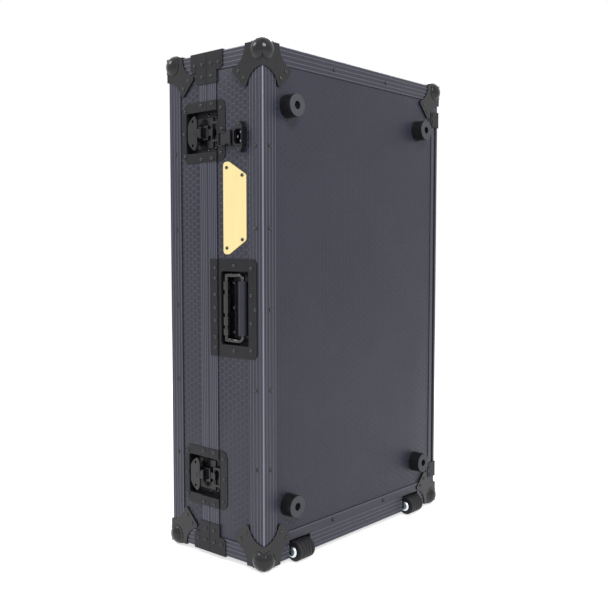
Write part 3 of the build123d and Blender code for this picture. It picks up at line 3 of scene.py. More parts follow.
import bmesh
import bpy
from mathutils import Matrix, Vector


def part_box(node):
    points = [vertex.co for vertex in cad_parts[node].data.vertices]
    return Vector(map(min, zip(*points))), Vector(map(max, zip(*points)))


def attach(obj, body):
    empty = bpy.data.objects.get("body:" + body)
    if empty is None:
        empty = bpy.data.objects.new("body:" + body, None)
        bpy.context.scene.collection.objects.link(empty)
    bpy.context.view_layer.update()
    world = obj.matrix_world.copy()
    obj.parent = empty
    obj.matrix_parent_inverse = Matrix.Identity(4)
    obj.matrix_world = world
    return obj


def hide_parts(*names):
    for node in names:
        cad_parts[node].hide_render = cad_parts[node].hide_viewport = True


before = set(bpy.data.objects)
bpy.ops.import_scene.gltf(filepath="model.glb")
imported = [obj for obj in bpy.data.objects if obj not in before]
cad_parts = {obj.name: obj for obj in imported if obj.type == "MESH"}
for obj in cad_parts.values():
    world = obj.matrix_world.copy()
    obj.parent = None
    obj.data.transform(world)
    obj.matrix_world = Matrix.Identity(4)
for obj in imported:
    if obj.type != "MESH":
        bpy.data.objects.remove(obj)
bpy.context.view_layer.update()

# The studio: a white floor and surround, with softboxes to the left, to the right
# and behind. The camera stands where the photograph was taken from, a place solved
# from the case's straight edges and right angles.
scene = bpy.context.scene
scene.view_settings.view_transform = "Standard"
CAMERA_AZIMUTH, CAMERA_ELEVATION = radians(40.99), radians(3.77)
CAMERA_PLACE = (1.0104, -1.1948, 0.5198)
LENS_MM, SENSOR_MM = 49.6, 36.0
camera = bpy.data.objects.new("camera", bpy.data.cameras.new("camera"))
scene.collection.objects.link(camera)
scene.camera = camera
camera.data.sensor_width = SENSOR_MM
camera.data.lens = LENS_MM
camera.location = CAMERA_PLACE
look_back = Vector(
    (
        sin(CAMERA_AZIMUTH) * cos(CAMERA_ELEVATION),
        -cos(CAMERA_AZIMUTH) * cos(CAMERA_ELEVATION),
        sin(CAMERA_ELEVATION),
    )
)
camera.rotation_mode = "QUATERNION"
camera.rotation_quaternion = (-look_back).to_track_quat("-Z", "Y")


def softbox(name, place, target, size, power):
    """A square softbox at a place, turned towards a target."""
    lamp = bpy.data.objects.new(name, bpy.data.lights.new(name, "AREA"))
    scene.collection.objects.link(lamp)
    lamp.data.shape = "SQUARE"
    lamp.data.size = size
    lamp.data.energy = power
    lamp.location = place
    aim = Vector(target) - Vector(place)
    lamp.rotation_mode = "QUATERNION"
    lamp.rotation_quaternion = aim.to_track_quat("-Z", "Y")


softbox("softbox_left", (-1.25, -1.55, 2.1), (-0.05, -0.2, 0.75), 0.8, 15)
softbox("softbox_right", (2.3, -1.3, 2.3), (0.05, 0.0, 0.7), 1.2, 52)
softbox("softbox_back", (-1.8, 2.2, 2.0), (0.0, 0.0, 0.4), 1.2, 40)

# The surround is white where it is seen or mirrored, and dimmer as a source of light
SURROUND_LIGHT, SURROUND_SEEN = 0.45, 1.0
world = bpy.data.worlds.new("studio")
scene.world = world
world.use_nodes = True
sky, sky_links = world.node_tree.nodes, world.node_tree.links
backdrop = sky["Background"]
rays = sky.new("ShaderNodeLightPath")
seen = sky.new("ShaderNodeMath")
seen.operation = "ADD"
seen_all = sky.new("ShaderNodeMath")
seen_all.operation = "ADD"
seen_all.use_clamp = True
level = sky.new("ShaderNodeMapRange")
level.inputs["To Min"].default_value = SURROUND_LIGHT
level.inputs["To Max"].default_value = SURROUND_SEEN
sky_links.new(rays.outputs["Is Camera Ray"], seen.inputs[0])
sky_links.new(rays.outputs["Is Glossy Ray"], seen.inputs[1])
sky_links.new(seen.outputs[0], seen_all.inputs[0])
sky_links.new(rays.outputs["Is Transmission Ray"], seen_all.inputs[1])
sky_links.new(seen_all.outputs[0], level.inputs["Value"])
sky_links.new(level.outputs["Result"], backdrop.inputs["Strength"])
backdrop.inputs["Color"].default_value = (1, 1, 1, 1)

# The floor is matt paper that keeps the shadow, with a glow that only shows when seen
FLOOR_REACH = 9.0
FLOOR_SIDES = 64
PAPER_TONE, PAPER_GLOW = 0.82, 0.68
floor_mesh = bpy.data.meshes.new("studio_floor")
rim_points = []
for k in range(FLOOR_SIDES):
    around = tau * k / FLOOR_SIDES
    rim_points.append((FLOOR_REACH * cos(around), FLOOR_REACH * sin(around), 0))
floor_mesh.from_pydata(rim_points, [], [range(FLOOR_SIDES)])
floor = bpy.data.objects.new("studio_floor", floor_mesh)
scene.collection.objects.link(floor)
paper = bpy.data.materials.new("studio paper")
paper.use_nodes = True
paper_nodes, paper_links = paper.node_tree.nodes, paper.node_tree.links
paper_nodes.clear()
paper_out = paper_nodes.new("ShaderNodeOutputMaterial")
paper_sum = paper_nodes.new("ShaderNodeAddShader")
paper_matt = paper_nodes.new("ShaderNodeBsdfDiffuse")
paper_glow = paper_nodes.new("ShaderNodeEmission")
paper_rays = paper_nodes.new("ShaderNodeLightPath")
paper_seen = paper_nodes.new("ShaderNodeMath")
paper_seen.operation = "ADD"
paper_level = paper_nodes.new("ShaderNodeMath")
paper_level.operation = "MULTIPLY"
paper_level.inputs[1].default_value = PAPER_GLOW
paper_matt.inputs["Color"].default_value = (PAPER_TONE, PAPER_TONE, PAPER_TONE, 1)
paper_links.new(paper_rays.outputs["Is Camera Ray"], paper_seen.inputs[0])
paper_links.new(paper_rays.outputs["Is Glossy Ray"], paper_seen.inputs[1])
paper_links.new(paper_seen.outputs[0], paper_level.inputs[0])
paper_links.new(paper_level.outputs[0], paper_glow.inputs["Strength"])
paper_links.new(paper_matt.outputs[0], paper_sum.inputs[0])
paper_links.new(paper_glow.outputs[0], paper_sum.inputs[1])
paper_links.new(paper_sum.outputs[0], paper_out.inputs["Surface"])
floor_mesh.materials.append(paper)

# The panels are nine millimetre plywood faced with a dark laminate. Its surface is
# pressed into a honeycomb: smooth cells 10.8 mm high with a matt line round each,
# painted paler as a highlight. The panels slide into the extrusions and are riveted there.
MM = 0.001
CELL = 10.8 * MM


def finish(name, colour, roughness, metallic=0.0, gloss=0.5):
    """A new material with its shader's constant values set on the shader itself."""
    made = bpy.data.materials.new(name)
    made.use_nodes = True
    shader = made.node_tree.nodes["Principled BSDF"]
    shader.inputs["Base Color"].default_value = (*colour, 1)
    shader.inputs["Roughness"].default_value = roughness
    shader.inputs["Metallic"].default_value = metallic
    shader.inputs["Specular IOR Level"].default_value = gloss
    return made, made.node_tree.nodes, made.node_tree.links, shader


def noise(nodes, links, place, scale, detail=2.0):
    """The value of a noise pattern laid over a place."""
    pattern = nodes.new("ShaderNodeTexNoise")
    pattern.inputs["Scale"].default_value = scale
    pattern.inputs["Detail"].default_value = detail
    links.new(place, pattern.inputs["Vector"])
    return pattern.outputs["Fac"]


def tones(nodes, links, pattern, dark, pale, at=(0.0, 1.0)):
    """A colour that runs from dark to pale between two levels of a pattern."""
    ramp = nodes.new("ShaderNodeValToRGB")
    for element, level, colour in zip(ramp.color_ramp.elements, at, (dark, pale)):
        element.position = level
        element.color = (*colour, 1)
    links.new(pattern, ramp.inputs["Fac"])
    return ramp.outputs["Color"]


def between(nodes, links, pattern, low, high):
    """A number that runs from low to high as a pattern runs from 0 to 1."""
    span = nodes.new("ShaderNodeMapRange")
    span.inputs["To Min"].default_value = low
    span.inputs["To Max"].default_value = high
    links.new(pattern, span.inputs["Value"])
    return span.outputs["Result"]


def emboss(nodes, links, pattern, shader, strength, distance):
    """A pattern pressed into the surface of a shader."""
    press = nodes.new("ShaderNodeBump")
    press.inputs["Strength"].default_value = strength
    press.inputs["Distance"].default_value = distance
    links.new(pattern, press.inputs["Height"])
    links.new(press.outputs["Normal"], shader.inputs["Normal"])
    return press


# The line round each cell begins and is whole at these shares of the cell's height
LINE_FROM, LINE_FULL = 0.405, 0.46
CELL_TONES = (0.022, 0.0235, 0.038), (0.028, 0.0295, 0.046)
# Painted highlight on the lines round the cells: brighter on the upright panels, dimmer on the broad
# ones
UPRIGHT_LINE_HIGHLIGHT, BROAD_LINE_HIGHLIGHT = (0.066, 0.067, 0.092), (0.034, 0.036, 0.056)


def laminate(name, across, along, line_highlight_colour):
    """Honeycomb laminate on a panel whose face runs across and along these axes."""
    made, nodes, links, shader = finish(name, (0.025, 0.026, 0.042), 0.4, gloss=0.34)

    def vector(operation, first, second=None, third=None):
        node = nodes.new("ShaderNodeVectorMath")
        node.operation = operation
        for socket, value in zip(node.inputs, (first, second, third)):
            if isinstance(value, tuple):
                socket.default_value = value
            elif value is not None:
                links.new(value, socket)
        return node.outputs["Value" if operation == "DOT_PRODUCT" else "Vector"]

    def number(operation, first, second):
        node = nodes.new("ShaderNodeMath")
        node.operation = operation
        for socket, value in zip(node.inputs, (first, second)):
            if isinstance(value, float):
                socket.default_value = value
            else:
                links.new(value, socket)
        return node.outputs[0]

    place = nodes.new("ShaderNodeTexCoord").outputs["Object"]
    axes = nodes.new("ShaderNodeSeparateXYZ")
    flat = nodes.new("ShaderNodeCombineXYZ")
    links.new(place, axes.inputs[0])
    links.new(axes.outputs[along], flat.inputs["X"])
    links.new(axes.outputs[across], flat.inputs["Y"])
    cells = vector("SCALE", flat.outputs[0])
    cells.node.inputs["Scale"].default_value = 1 / CELL
    # Two interleaved grids of cell centres, and the nearer one at each point
    half_x, half_y = 0.5, sqrt(3) / 2
    low, high = (-half_x, -half_y, -1.0), (half_x, half_y, 1.0)
    first = vector("WRAP", cells, high, low)
    second = vector("WRAP", vector("SUBTRACT", cells, (half_x, half_y, 0.0)), high, low)
    nearer = nodes.new("ShaderNodeMix")
    nearer.data_type = "VECTOR"
    to_first = vector("DOT_PRODUCT", first, first)
    to_second = vector("DOT_PRODUCT", second, second)
    links.new(number("LESS_THAN", to_first, to_second), nearer.inputs["Factor"])
    links.new(second, nearer.inputs[4])
    links.new(first, nearer.inputs[5])
    out = vector("ABSOLUTE", nearer.outputs[1])
    parts = nodes.new("ShaderNodeSeparateXYZ")
    links.new(out, parts.inputs[0])
    slanted = vector("DOT_PRODUCT", out, (0.5, sqrt(3) / 2, 0.0))
    from_centre = number("MAXIMUM", parts.outputs["X"], slanted)
    line = nodes.new("ShaderNodeMapRange")
    line.interpolation_type = "SMOOTHSTEP"
    line.inputs["From Min"].default_value = LINE_FROM
    line.inputs["From Max"].default_value = LINE_FULL
    links.new(from_centre, line.inputs["Value"])
    # Cells dark and smooth, lines matt and painted pale as a highlight, both with a slow variation
    cell_colour = tones(nodes, links, noise(nodes, links, place, 9.0, 4.0), *CELL_TONES, at=(0.35, 0.65))
    colour = nodes.new("ShaderNodeMix")
    colour.data_type = "RGBA"
    colour.inputs["B"].default_value = (*line_highlight_colour, 1)
    links.new(line.outputs["Result"], colour.inputs["Factor"])
    links.new(cell_colour, colour.inputs["A"])
    links.new(colour.outputs["Result"], shader.inputs["Base Color"])
    links.new(between(nodes, links, line.outputs["Result"], 0.38, 0.62), shader.inputs["Roughness"])
    press = emboss(nodes, links, line.outputs["Result"], shader, 0.55, 0.4 * MM)
    press.invert = True
    speckle = emboss(nodes, links, noise(nodes, links, place, 1400.0), shader, 0.12, 0.3 * MM)
    links.new(press.outputs["Normal"], speckle.inputs["Normal"])
    return made


def dress(node, material, edge=0.0):
    """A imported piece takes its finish, its facets are joined and its edges eased."""
    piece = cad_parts[node]
    piece.data.materials.clear()
    piece.data.materials.append(material)
    if "custom_normal" in piece.data.attributes:
        piece.data.attributes.remove(piece.data.attributes["custom_normal"])
    for face in piece.data.polygons:
        face.use_smooth = True
    weld = piece.modifiers.new("joined facets", "WELD")
    weld.merge_threshold = 0.005 * MM
    if edge:
        ease = piece.modifiers.new("eased edges", "BEVEL")
        ease.width = edge
        ease.segments = 2
        ease.limit_method = "ANGLE"
        ease.angle_limit = radians(38)
        ease.use_clamp_overlap = True
    level = piece.modifiers.new("flat faces", "WEIGHTED_NORMAL")
    level.keep_sharp = True
    return piece


LONG_SIDES = (
    "base_handle_side_panel",
    "base_far_side_posts",
    "lid_long_side_panels",
    "access_panel_board",
)
BROAD_FACES = ("base_bottom_panel", "lid_panel")
END_FACES = ("base_wheel_end_panel", "base_top_end_panel", "lid_end_panels")
for name, across, along, line_highlight_colour, panels in (
    ("side laminate", "X", "Z", UPRIGHT_LINE_HIGHLIGHT, LONG_SIDES),
    ("broad laminate", "Y", "Z", BROAD_LINE_HIGHLIGHT, BROAD_FACES),
    ("end laminate", "X", "Y", UPRIGHT_LINE_HIGHLIGHT, END_FACES),
):
    faced = laminate(name, across, along, line_highlight_colour)
    for node in panels:
        dress(node, faced)

# The edge, corner and rim extrusions are ribbed aluminium, black anodised with a fine
# satin grain along their length. They are riveted through both legs to the plywood.
X_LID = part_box("lid_edge_extrusions")[0].x
X_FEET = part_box("base_edge_extrusions")[1].x
X_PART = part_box("base_rim_extrusion")[0].x
Y_HANDLE, Z_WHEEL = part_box("lid_edge_extrusions")[0].yz
Y_FAR, Z_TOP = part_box("lid_edge_extrusions")[1].yz
Z_MID, Y_MID = (Z_WHEEL + Z_TOP) / 2, (Y_HANDLE + Y_FAR) / 2


# How fast the grain of drawn aluminium changes along and across it, per metre
ALONG_GRAIN, ACROSS_GRAIN = 6, 900


def anodised(name, axis, dark, pale):
    """Satin black anodising with its drawing lines along one axis."""
    made, nodes, links, shader = finish(name, dark, 0.4, metallic=0.35)
    place = nodes.new("ShaderNodeTexCoord")
    stretch = nodes.new("ShaderNodeMapping")
    stretch.inputs["Scale"].default_value = [ALONG_GRAIN if axis == k else ACROSS_GRAIN for k in "XYZ"]
    links.new(place.outputs["Object"], stretch.inputs["Vector"])
    lines = noise(nodes, links, stretch.outputs["Vector"], 1.0, 3.0)
    links.new(tones(nodes, links, lines, dark, pale, at=(0.3, 0.7)), shader.inputs["Base Color"])
    links.new(between(nodes, links, lines, 0.34, 0.46), shader.inputs["Roughness"])
    emboss(nodes, links, lines, shader, 0.08, 0.3 * MM)
    return made


# Painted light on the extrusions: the ribs' tops and the rounded corner are painted paler as highlights,
# the grooves and the rest darker as shade
GROOVE_SHADE_TONES = (0.030, 0.031, 0.046), (0.044, 0.045, 0.064)
RIB_HIGHLIGHT_TONES = (0.088, 0.091, 0.125), (0.115, 0.118, 0.160)
APEX_HIGHLIGHT_TONES = (0.190, 0.195, 0.250), (0.240, 0.245, 0.310)
PLAIN_TONES = (0.045, 0.046, 0.060), (0.065, 0.066, 0.085)
EXTRUSION_LOW = Vector((X_LID, Y_HANDLE, Z_WHEEL))
EXTRUSION_HIGH = Vector((X_FEET, Y_FAR, Z_TOP))
# A face this near the outermost plane is a rib's top, and a less square one is rounded
ON_RIB = 0.05 * MM
SQUARE_ON = 0.98
EXTRUSION_EDGE = 0.1 * MM


def dress_ribbed(node, groove_shade, rib_highlight, apex_highlight, edge):
    """An extrusion whose ribs' tops and rounded corner carry painted highlights, and whose grooves carry
    painted shade.
    """
    piece = dress(node, groove_shade, edge)
    piece.data.materials.append(rib_highlight)
    piece.data.materials.append(apex_highlight)
    for face in piece.data.polygons:
        way = max(range(3), key=lambda k: abs(face.normal[k]))
        at = face.center[way]
        from_outside = min(at - EXTRUSION_LOW[way], EXTRUSION_HIGH[way] - at)
        # Rounded faces take the brightest painted highlight, and the ribs' tops a lesser one
        if abs(face.normal[way]) < SQUARE_ON:
            face.material_index = 2
        elif from_outside < ON_RIB:
            face.material_index = 1


UPRIGHT_RIBBED = (
    "base_edge_extrusions",
    "lid_edge_extrusions",
    "base_rim_extrusion",
    "lid_rim_extrusion",
    "access_panel_rim",
)
CROSS_RIBBED = ("base_corner_extrusions", "lid_corner_extrusions")
for axis, ribbed in (("Z", UPRIGHT_RIBBED), ("X", CROSS_RIBBED)):
    groove_shade = anodised(f"groove anodising {axis}", axis, *GROOVE_SHADE_TONES)
    rib_highlight = anodised(f"rib anodising {axis}", axis, *RIB_HIGHLIGHT_TONES)
    apex_highlight = anodised(f"apex anodising {axis}", axis, *APEX_HIGHLIGHT_TONES)
    for node in ribbed:
        dress_ribbed(node, groove_shade, rib_highlight, apex_highlight, EXTRUSION_EDGE)
PLAIN_ANODISED = anodised("plain anodising", "Z", *PLAIN_TONES)
for node in ("access_panel_channel", "access_frame"):
    dress(node, PLAIN_ANODISED, 0.2 * MM)


def rivet_paint():
    """Gloss black of the rivet heads, a little uneven in tone and sheen."""
    made, nodes, links, shader = finish("rivet black", (0.008, 0.008, 0.010), 0.2, gloss=0.55)
    wear = noise(nodes, links, nodes.new("ShaderNodeTexCoord").outputs["Object"], 700.0)
    worn = tones(nodes, links, wear, (0.005, 0.005, 0.007), (0.016, 0.016, 0.020))
    links.new(worn, shader.inputs["Base Color"])
    links.new(between(nodes, links, wear, 0.14, 0.3), shader.inputs["Roughness"])
    return made


RIVET_BLACK = rivet_paint()
# Rivet profile as shares of its radius and height: rolled rim, dome and drilled centre
RIVET_PROFILE = (
    (1.0, 0.0),
    (1.0, 0.22),
    (0.92, 0.42),
    (0.7, 0.78),
    (0.42, 0.98),
    (0.3, 1.0),
    (0.24, 0.72),
)
RIVET_SIDES = 12


def link_piece(name, mesh, material):
    """A new piece in the scene from a bmesh, shaded smooth."""
    data = bpy.data.meshes.new(name)
    mesh.normal_update()
    mesh.to_mesh(data)
    mesh.free()
    for face in data.polygons:
        face.use_smooth = True
    data.materials.append(material)
    piece = bpy.data.objects.new(name, data)
    scene.collection.objects.link(piece)
    return piece


def rivets(name, body, places, radius=3.3 * MM, height=2.2 * MM):
    """Rivet heads in one mesh; each place is a point on the sheet and the way it faces."""
    mesh = bmesh.new()
    for point, facing in places:
        turn = Vector(facing).to_track_quat("Z", "Y")
        rings = []
        for share, rise in RIVET_PROFILE:
            ring = []
            for k in range(RIVET_SIDES):
                around = tau * k / RIVET_SIDES
                out = share * radius
                local = Vector((out * cos(around), out * sin(around), rise * height))
                ring.append(mesh.verts.new(Vector(point) + turn @ local))
            rings.append(ring)
        for lower, upper in zip(rings, rings[1:]):
            for k in range(RIVET_SIDES):
                n = (k + 1) % RIVET_SIDES
                mesh.faces.new((lower[k], lower[n], upper[n], upper[k]))
        mesh.faces.new(rings[-1])
    piece = link_piece(name, mesh, RIVET_BLACK)
    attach(piece, body)
    return piece


EDGE_RIVET_IN = 17.0 * MM
EDGE_RIVET_STEP = 128.3 * MM
CROSS_RIVET_STEP = 150.0 * MM
edge_rises = [Z_MID + (k - 2) * EDGE_RIVET_STEP for k in range(5)]
cross_places = [Y_MID + (k - 0.5) * CROSS_RIVET_STEP for k in range(2)]
WIDE_LEG_RIVET = 37.5 * MM
base_places, lid_places = [], []
for z in edge_rises:
    base_places.append(((X_FEET, Y_HANDLE + EDGE_RIVET_IN, z), (1, 0, 0)))
    base_places.append(((X_FEET - EDGE_RIVET_IN, Y_HANDLE, z), (0, -1, 0)))
    for y, way, inward in ((Y_HANDLE, -1, EDGE_RIVET_IN), (Y_FAR, 1, -EDGE_RIVET_IN)):
        lid_places.append(((X_LID + EDGE_RIVET_IN, y, z), (0, way, 0)))
        lid_places.append(((X_LID, y + inward, z), (-1, 0, 0)))
for y in cross_places:
    base_places.append(((X_FEET, y, Z_TOP - EDGE_RIVET_IN), (1, 0, 0)))
    base_places.append(((X_FEET, y, Z_WHEEL + WIDE_LEG_RIVET), (1, 0, 0)))
    for z, way, inward in ((Z_WHEEL, -1, EDGE_RIVET_IN), (Z_TOP, 1, -EDGE_RIVET_IN)):
        base_places.append(((X_FEET - EDGE_RIVET_IN, y, z), (0, 0, way)))
        lid_places.append(((X_LID + EDGE_RIVET_IN, y, z), (0, 0, way)))
        lid_places.append(((X_LID, y, z + inward), (-1, 0, 0)))
rivets("base_edge_rivets", "case", base_places)
rivets("lid_edge_rivets", "lid", lid_places)

# The ball corners are pressed from steel sheet: a hollow ball between three plates
# that lap over the extrusions. They are gloss black and riveted twice on each face.


def powder_coat(name, dark, pale, rough_low, rough_high, peel=0.18, gloss=0.25):
    """Black powder coat with a fine orange peel and slow changes of sheen."""
    made, nodes, links, shader = finish(name, dark, rough_low, gloss=gloss)
    place = nodes.new("ShaderNodeTexCoord").outputs["Object"]
    cloud = noise(nodes, links, place, 38.0, 5.0)
    links.new(tones(nodes, links, cloud, dark, pale, at=(0.3, 0.75)), shader.inputs["Base Color"])
    links.new(between(nodes, links, cloud, rough_low, rough_high), shader.inputs["Roughness"])
    emboss(nodes, links, noise(nodes, links, place, 900.0), shader, peel, 0.2 * MM)
    return made


# The corners and the handles' rods have the same gloss black
DEEP_BLACK, FULL_BLACK = (0.006, 0.006, 0.008), (0.010, 0.010, 0.013)
CORNER_BLACK = powder_coat("corner gloss black", DEEP_BLACK, FULL_BLACK, 0.15, 0.2, 0.02, 0.4)
PLATE_RIVETS = ((39.5 * MM, 51.5 * MM), (51.5 * MM, 39.5 * MM))
PLATE_FACE = 1.5 * MM
for half, x, way_x in (("base", X_FEET, 1), ("lid", X_LID, -1)):
    dress(f"{half}_ball_corners", CORNER_BLACK, 0.35 * MM)
    places = []
    for y, way_y in ((Y_HANDLE, -1), (Y_FAR, 1)):
        for z, way_z in ((Z_WHEEL, -1), (Z_TOP, 1)):
            out = Vector((way_x, way_y, way_z))
            corner = Vector((x, y, z))
            for a, b in PLATE_RIVETS:
                for inward in ((-PLATE_FACE, a, b), (a, -PLATE_FACE, b), (a, b, -PLATE_FACE)):
                    facing = [way if step < 0 else 0 for way, step in zip(out, inward)]
                    places.append((corner - out * Vector(inward), facing))
    body = "case" if half == "base" else "lid"
    rivets(f"{half}_corner_rivets", body, places)

# Flat stepped brackets tie the rim extrusions at the case's four edges, one pair
# for the lid and one for the base, bent round onto the end and riveted.
SHEET_TONES = (0.008, 0.008, 0.011), (0.014, 0.014, 0.018)
SHEET_BLACK = powder_coat("sheet powder coat", *SHEET_TONES, 0.34, 0.44)
BRACKET_RIVETS = ((10.4 * MM, 18 * MM), (28.5 * MM, 18 * MM), (10.4 * MM, 38 * MM))
BRACKET_FACE = 1.2 * MM
for half, body, way_x in (("base", "case", 1), ("lid", "lid", -1)):
    dress(f"{half}_rim_brackets", SHEET_BLACK, 0.25 * MM)
    places = []
    for y, way_y in ((Y_HANDLE, -1), (Y_FAR, 1)):
        for z, way_z in ((Z_WHEEL, -1), (Z_TOP, 1)):
            for away, along in BRACKET_RIVETS:
                x = X_PART + way_x * away
                places.append(((x, y + way_y * BRACKET_FACE, z - way_z * along), (0, way_y, 0)))
                places.append(((x, y - way_y * along, z + way_z * BRACKET_FACE), (0, 0, way_z)))
    rivets(f"{half}_bracket_rivets", body, places)

# Two small clips on the underside hold the frame of the lift-out access panel.
dress("access_clips", SHEET_BLACK, 0.25 * MM)
CLIP_RIVET_IN = 18.6 * MM
CLIP_RIVETS = (56 * MM, 70 * MM)
places = []
for z, way_z in ((Z_WHEEL, 1), (Z_TOP, -1)):
    for along in CLIP_RIVETS:
        rise = z + way_z * along
        places.append(((X_FEET + BRACKET_FACE, Y_FAR - CLIP_RIVET_IN, rise), (1, 0, 0)))
        places.append(((X_FEET - CLIP_RIVET_IN, Y_FAR + BRACKET_FACE, rise), (0, 1, 0)))
rivets("clip_rivets", "case", places, radius=2.4 * MM)

# The four rubber feet are moulded round steel washers and screwed through the panel.
# Their sides are smooth and painted a shaded black; their faces are matt, scuffed, and painted a lit
# grey.
SCUFF_SHADE = 0.75


def moulded_rubber(name, shaded_side_colour, lit_face_colour, axis):
    """Rubber painted a lit grey with scuffs on faces square to one axis, and a shaded black on its
    sides.
    """
    made, nodes, links, shader = finish(name, shaded_side_colour, 0.4, gloss=0.35)
    place = nodes.new("ShaderNodeTexCoord")
    split = nodes.new("ShaderNodeSeparateXYZ")
    links.new(place.outputs["Normal"], split.inputs[0])
    # Painted light: faces square to the axis take a lit grey, the sides a shaded black
    facing = nodes.new("ShaderNodeMapRange")
    facing.inputs["From Min"].default_value = 0.8
    facing.inputs["From Max"].default_value = 0.95
    links.new(split.outputs[axis], facing.inputs["Value"])
    scuff = noise(nodes, links, place.outputs["Object"], 420.0, 4.0)
    rubbed = [SCUFF_SHADE * value for value in lit_face_colour]
    worn = tones(nodes, links, scuff, rubbed, lit_face_colour)
    colour = nodes.new("ShaderNodeMix")
    colour.data_type = "RGBA"
    colour.inputs["A"].default_value = (*shaded_side_colour, 1)
    links.new(facing.outputs["Result"], colour.inputs["Factor"])
    links.new(worn, colour.inputs["B"])
    links.new(colour.outputs["Result"], shader.inputs["Base Color"])
    links.new(between(nodes, links, facing.outputs["Result"], 0.34, 0.75), shader.inputs["Roughness"])
    emboss(nodes, links, scuff, shader, 0.2, 0.3 * MM)
    return made


FOOT_RUBBER = moulded_rubber("foot rubber", (0.010, 0.010, 0.012), (0.085, 0.087, 0.100), "X")
dress("rubber_feet", FOOT_RUBBER, 0.6 * MM)


def zinc_plate(name, dull, bright):
    """Plated metal between a dull and a bright tone, with fine turning marks."""
    made, nodes, links, shader = finish(name, bright, 0.25, metallic=1.0)
    marks = noise(nodes, links, nodes.new("ShaderNodeTexCoord").outputs["Object"], 500.0, 3.0)
    links.new(tones(nodes, links, marks, dull, bright), shader.inputs["Base Color"])
    links.new(between(nodes, links, marks, 0.18, 0.36), shader.inputs["Roughness"])
    return made


BRIGHT_ZINC = zinc_plate("bright zinc", (0.55, 0.64, 0.70), (0.9, 0.95, 0.98))
dress("foot_screws", BRIGHT_ZINC, 0.5 * MM)

# Two grooved plastic wheels stand in pressed housings at the corner of the underside
# and the wheel end, each on a zinc bolt with a domed head and a nut.
WHEEL_TONES = (0.016, 0.016, 0.019), (0.028, 0.028, 0.033)
WHEEL_PLASTIC = powder_coat("wheel plastic", *WHEEL_TONES, 0.42, 0.55)
dress("wheel_handle_side", WHEEL_PLASTIC, 0.3 * MM)
dress("wheel_far_side", WHEEL_PLASTIC, 0.3 * MM)
dress("wheel_housings", SHEET_BLACK, 0.25 * MM)
dress("axle_bolts", BRIGHT_ZINC)

# Each latch sits in a two-part dish pressed from steel sheet: one part in the lid and
# one in the base. Rivets with gloss black heads go through its stepped flange.
for node in ("lid_latch_dishes", "base_latch_dishes"):
    dress(node, SHEET_BLACK, 0.3 * MM)
NEAR_LATCH_INSET, FAR_LATCH_INSET = 127 * MM, 160 * MM
LATCHES = {
    "handle_low": (Y_HANDLE, -1, Z_WHEEL + NEAR_LATCH_INSET),
    "handle_high": (Y_HANDLE, -1, Z_TOP - NEAR_LATCH_INSET),
    "far_low": (Y_FAR, 1, Z_WHEEL + FAR_LATCH_INSET),
    "far_high": (Y_FAR, 1, Z_TOP - FAR_LATCH_INSET),
}
# Each rivet's place across and up from the latch, in millimetres, and its sheet's face
RIM_FACE, PANEL_FACE, WELL_FLOOR = 1.2 * MM, -0.6 * MM, -16 * MM
LID_DISH_RIVETS = (
    (-55.5, 37, PANEL_FACE),
    (-55.5, -37, PANEL_FACE),
    (-57, 0, PANEL_FACE),
    (-13.5, 44, RIM_FACE),
    (-13.5, -44, RIM_FACE),
    (-13.5, 29, WELL_FLOOR),
    (-13.5, -29, WELL_FLOOR),
)
BASE_DISH_RIVETS = (
    (12, 44, RIM_FACE),
    (12, -44, RIM_FACE),
    (31.5, 36, PANEL_FACE),
    (31.5, -36, PANEL_FACE),
    (34.5, 2, PANEL_FACE),
    (5, 26, WELL_FLOOR),
    (5, -26, WELL_FLOOR),
)
for half, body, pattern in (("lid", "lid", LID_DISH_RIVETS), ("base", "case", BASE_DISH_RIVETS)):
    places = []
    for y, way, z in LATCHES.values():
        for across, up, rise in pattern:
            places.append(((X_PART + across * MM, y + way * rise, z + up * MM), (0, way, 0)))
    rivets(f"{half}_latch_rivets", body, places)

# The working parts of each latch: a plate with a stud, the rotor that turns on it,
# the folding wing with its two holes, the hook and its keeper, all in black steel.
LATCH_TONES = (0.007, 0.007, 0.009), (0.012, 0.012, 0.015)
LATCH_BLACK = powder_coat("latch black", *LATCH_TONES, 0.2, 0.3, 0.06, 0.4)
dress("latch_mechanism_plates", LATCH_BLACK, 0.3 * MM)
dress("latch_keepers", LATCH_BLACK, 0.5 * MM)
for name in LATCHES:
    dress(f"latch_{name}_rotor", LATCH_BLACK, 0.3 * MM)
    dress(f"latch_{name}_wing", LATCH_BLACK, 0.5 * MM)
    dress(f"latch_{name}_hook", LATCH_BLACK, 0.5 * MM)

# The carrying handle and the one at the top end are alike: a deep dish, a hinge plate
# with four barrels, a bent steel rod and a rubber grip sleeve.
ROD_BLACK = powder_coat("rod gloss black", DEEP_BLACK, FULL_BLACK, 0.12, 0.18, 0.03, 0.7)
GRIP_TONES = (0.026, 0.027, 0.040), (0.036, 0.037, 0.054)
GRIP_RUBBER = powder_coat("grip rubber", *GRIP_TONES, 0.34, 0.44, 0.08)
for name in ("side", "end"):
    dress(f"{name}_handle_dish", SHEET_BLACK, 0.3 * MM)
    dress(f"{name}_handle_hinge", ROD_BLACK, 0.5 * MM)
    dress(f"{name}_handle_bail", ROD_BLACK)
    dress(f"{name}_handle_grip", GRIP_RUBBER, 0.8 * MM)
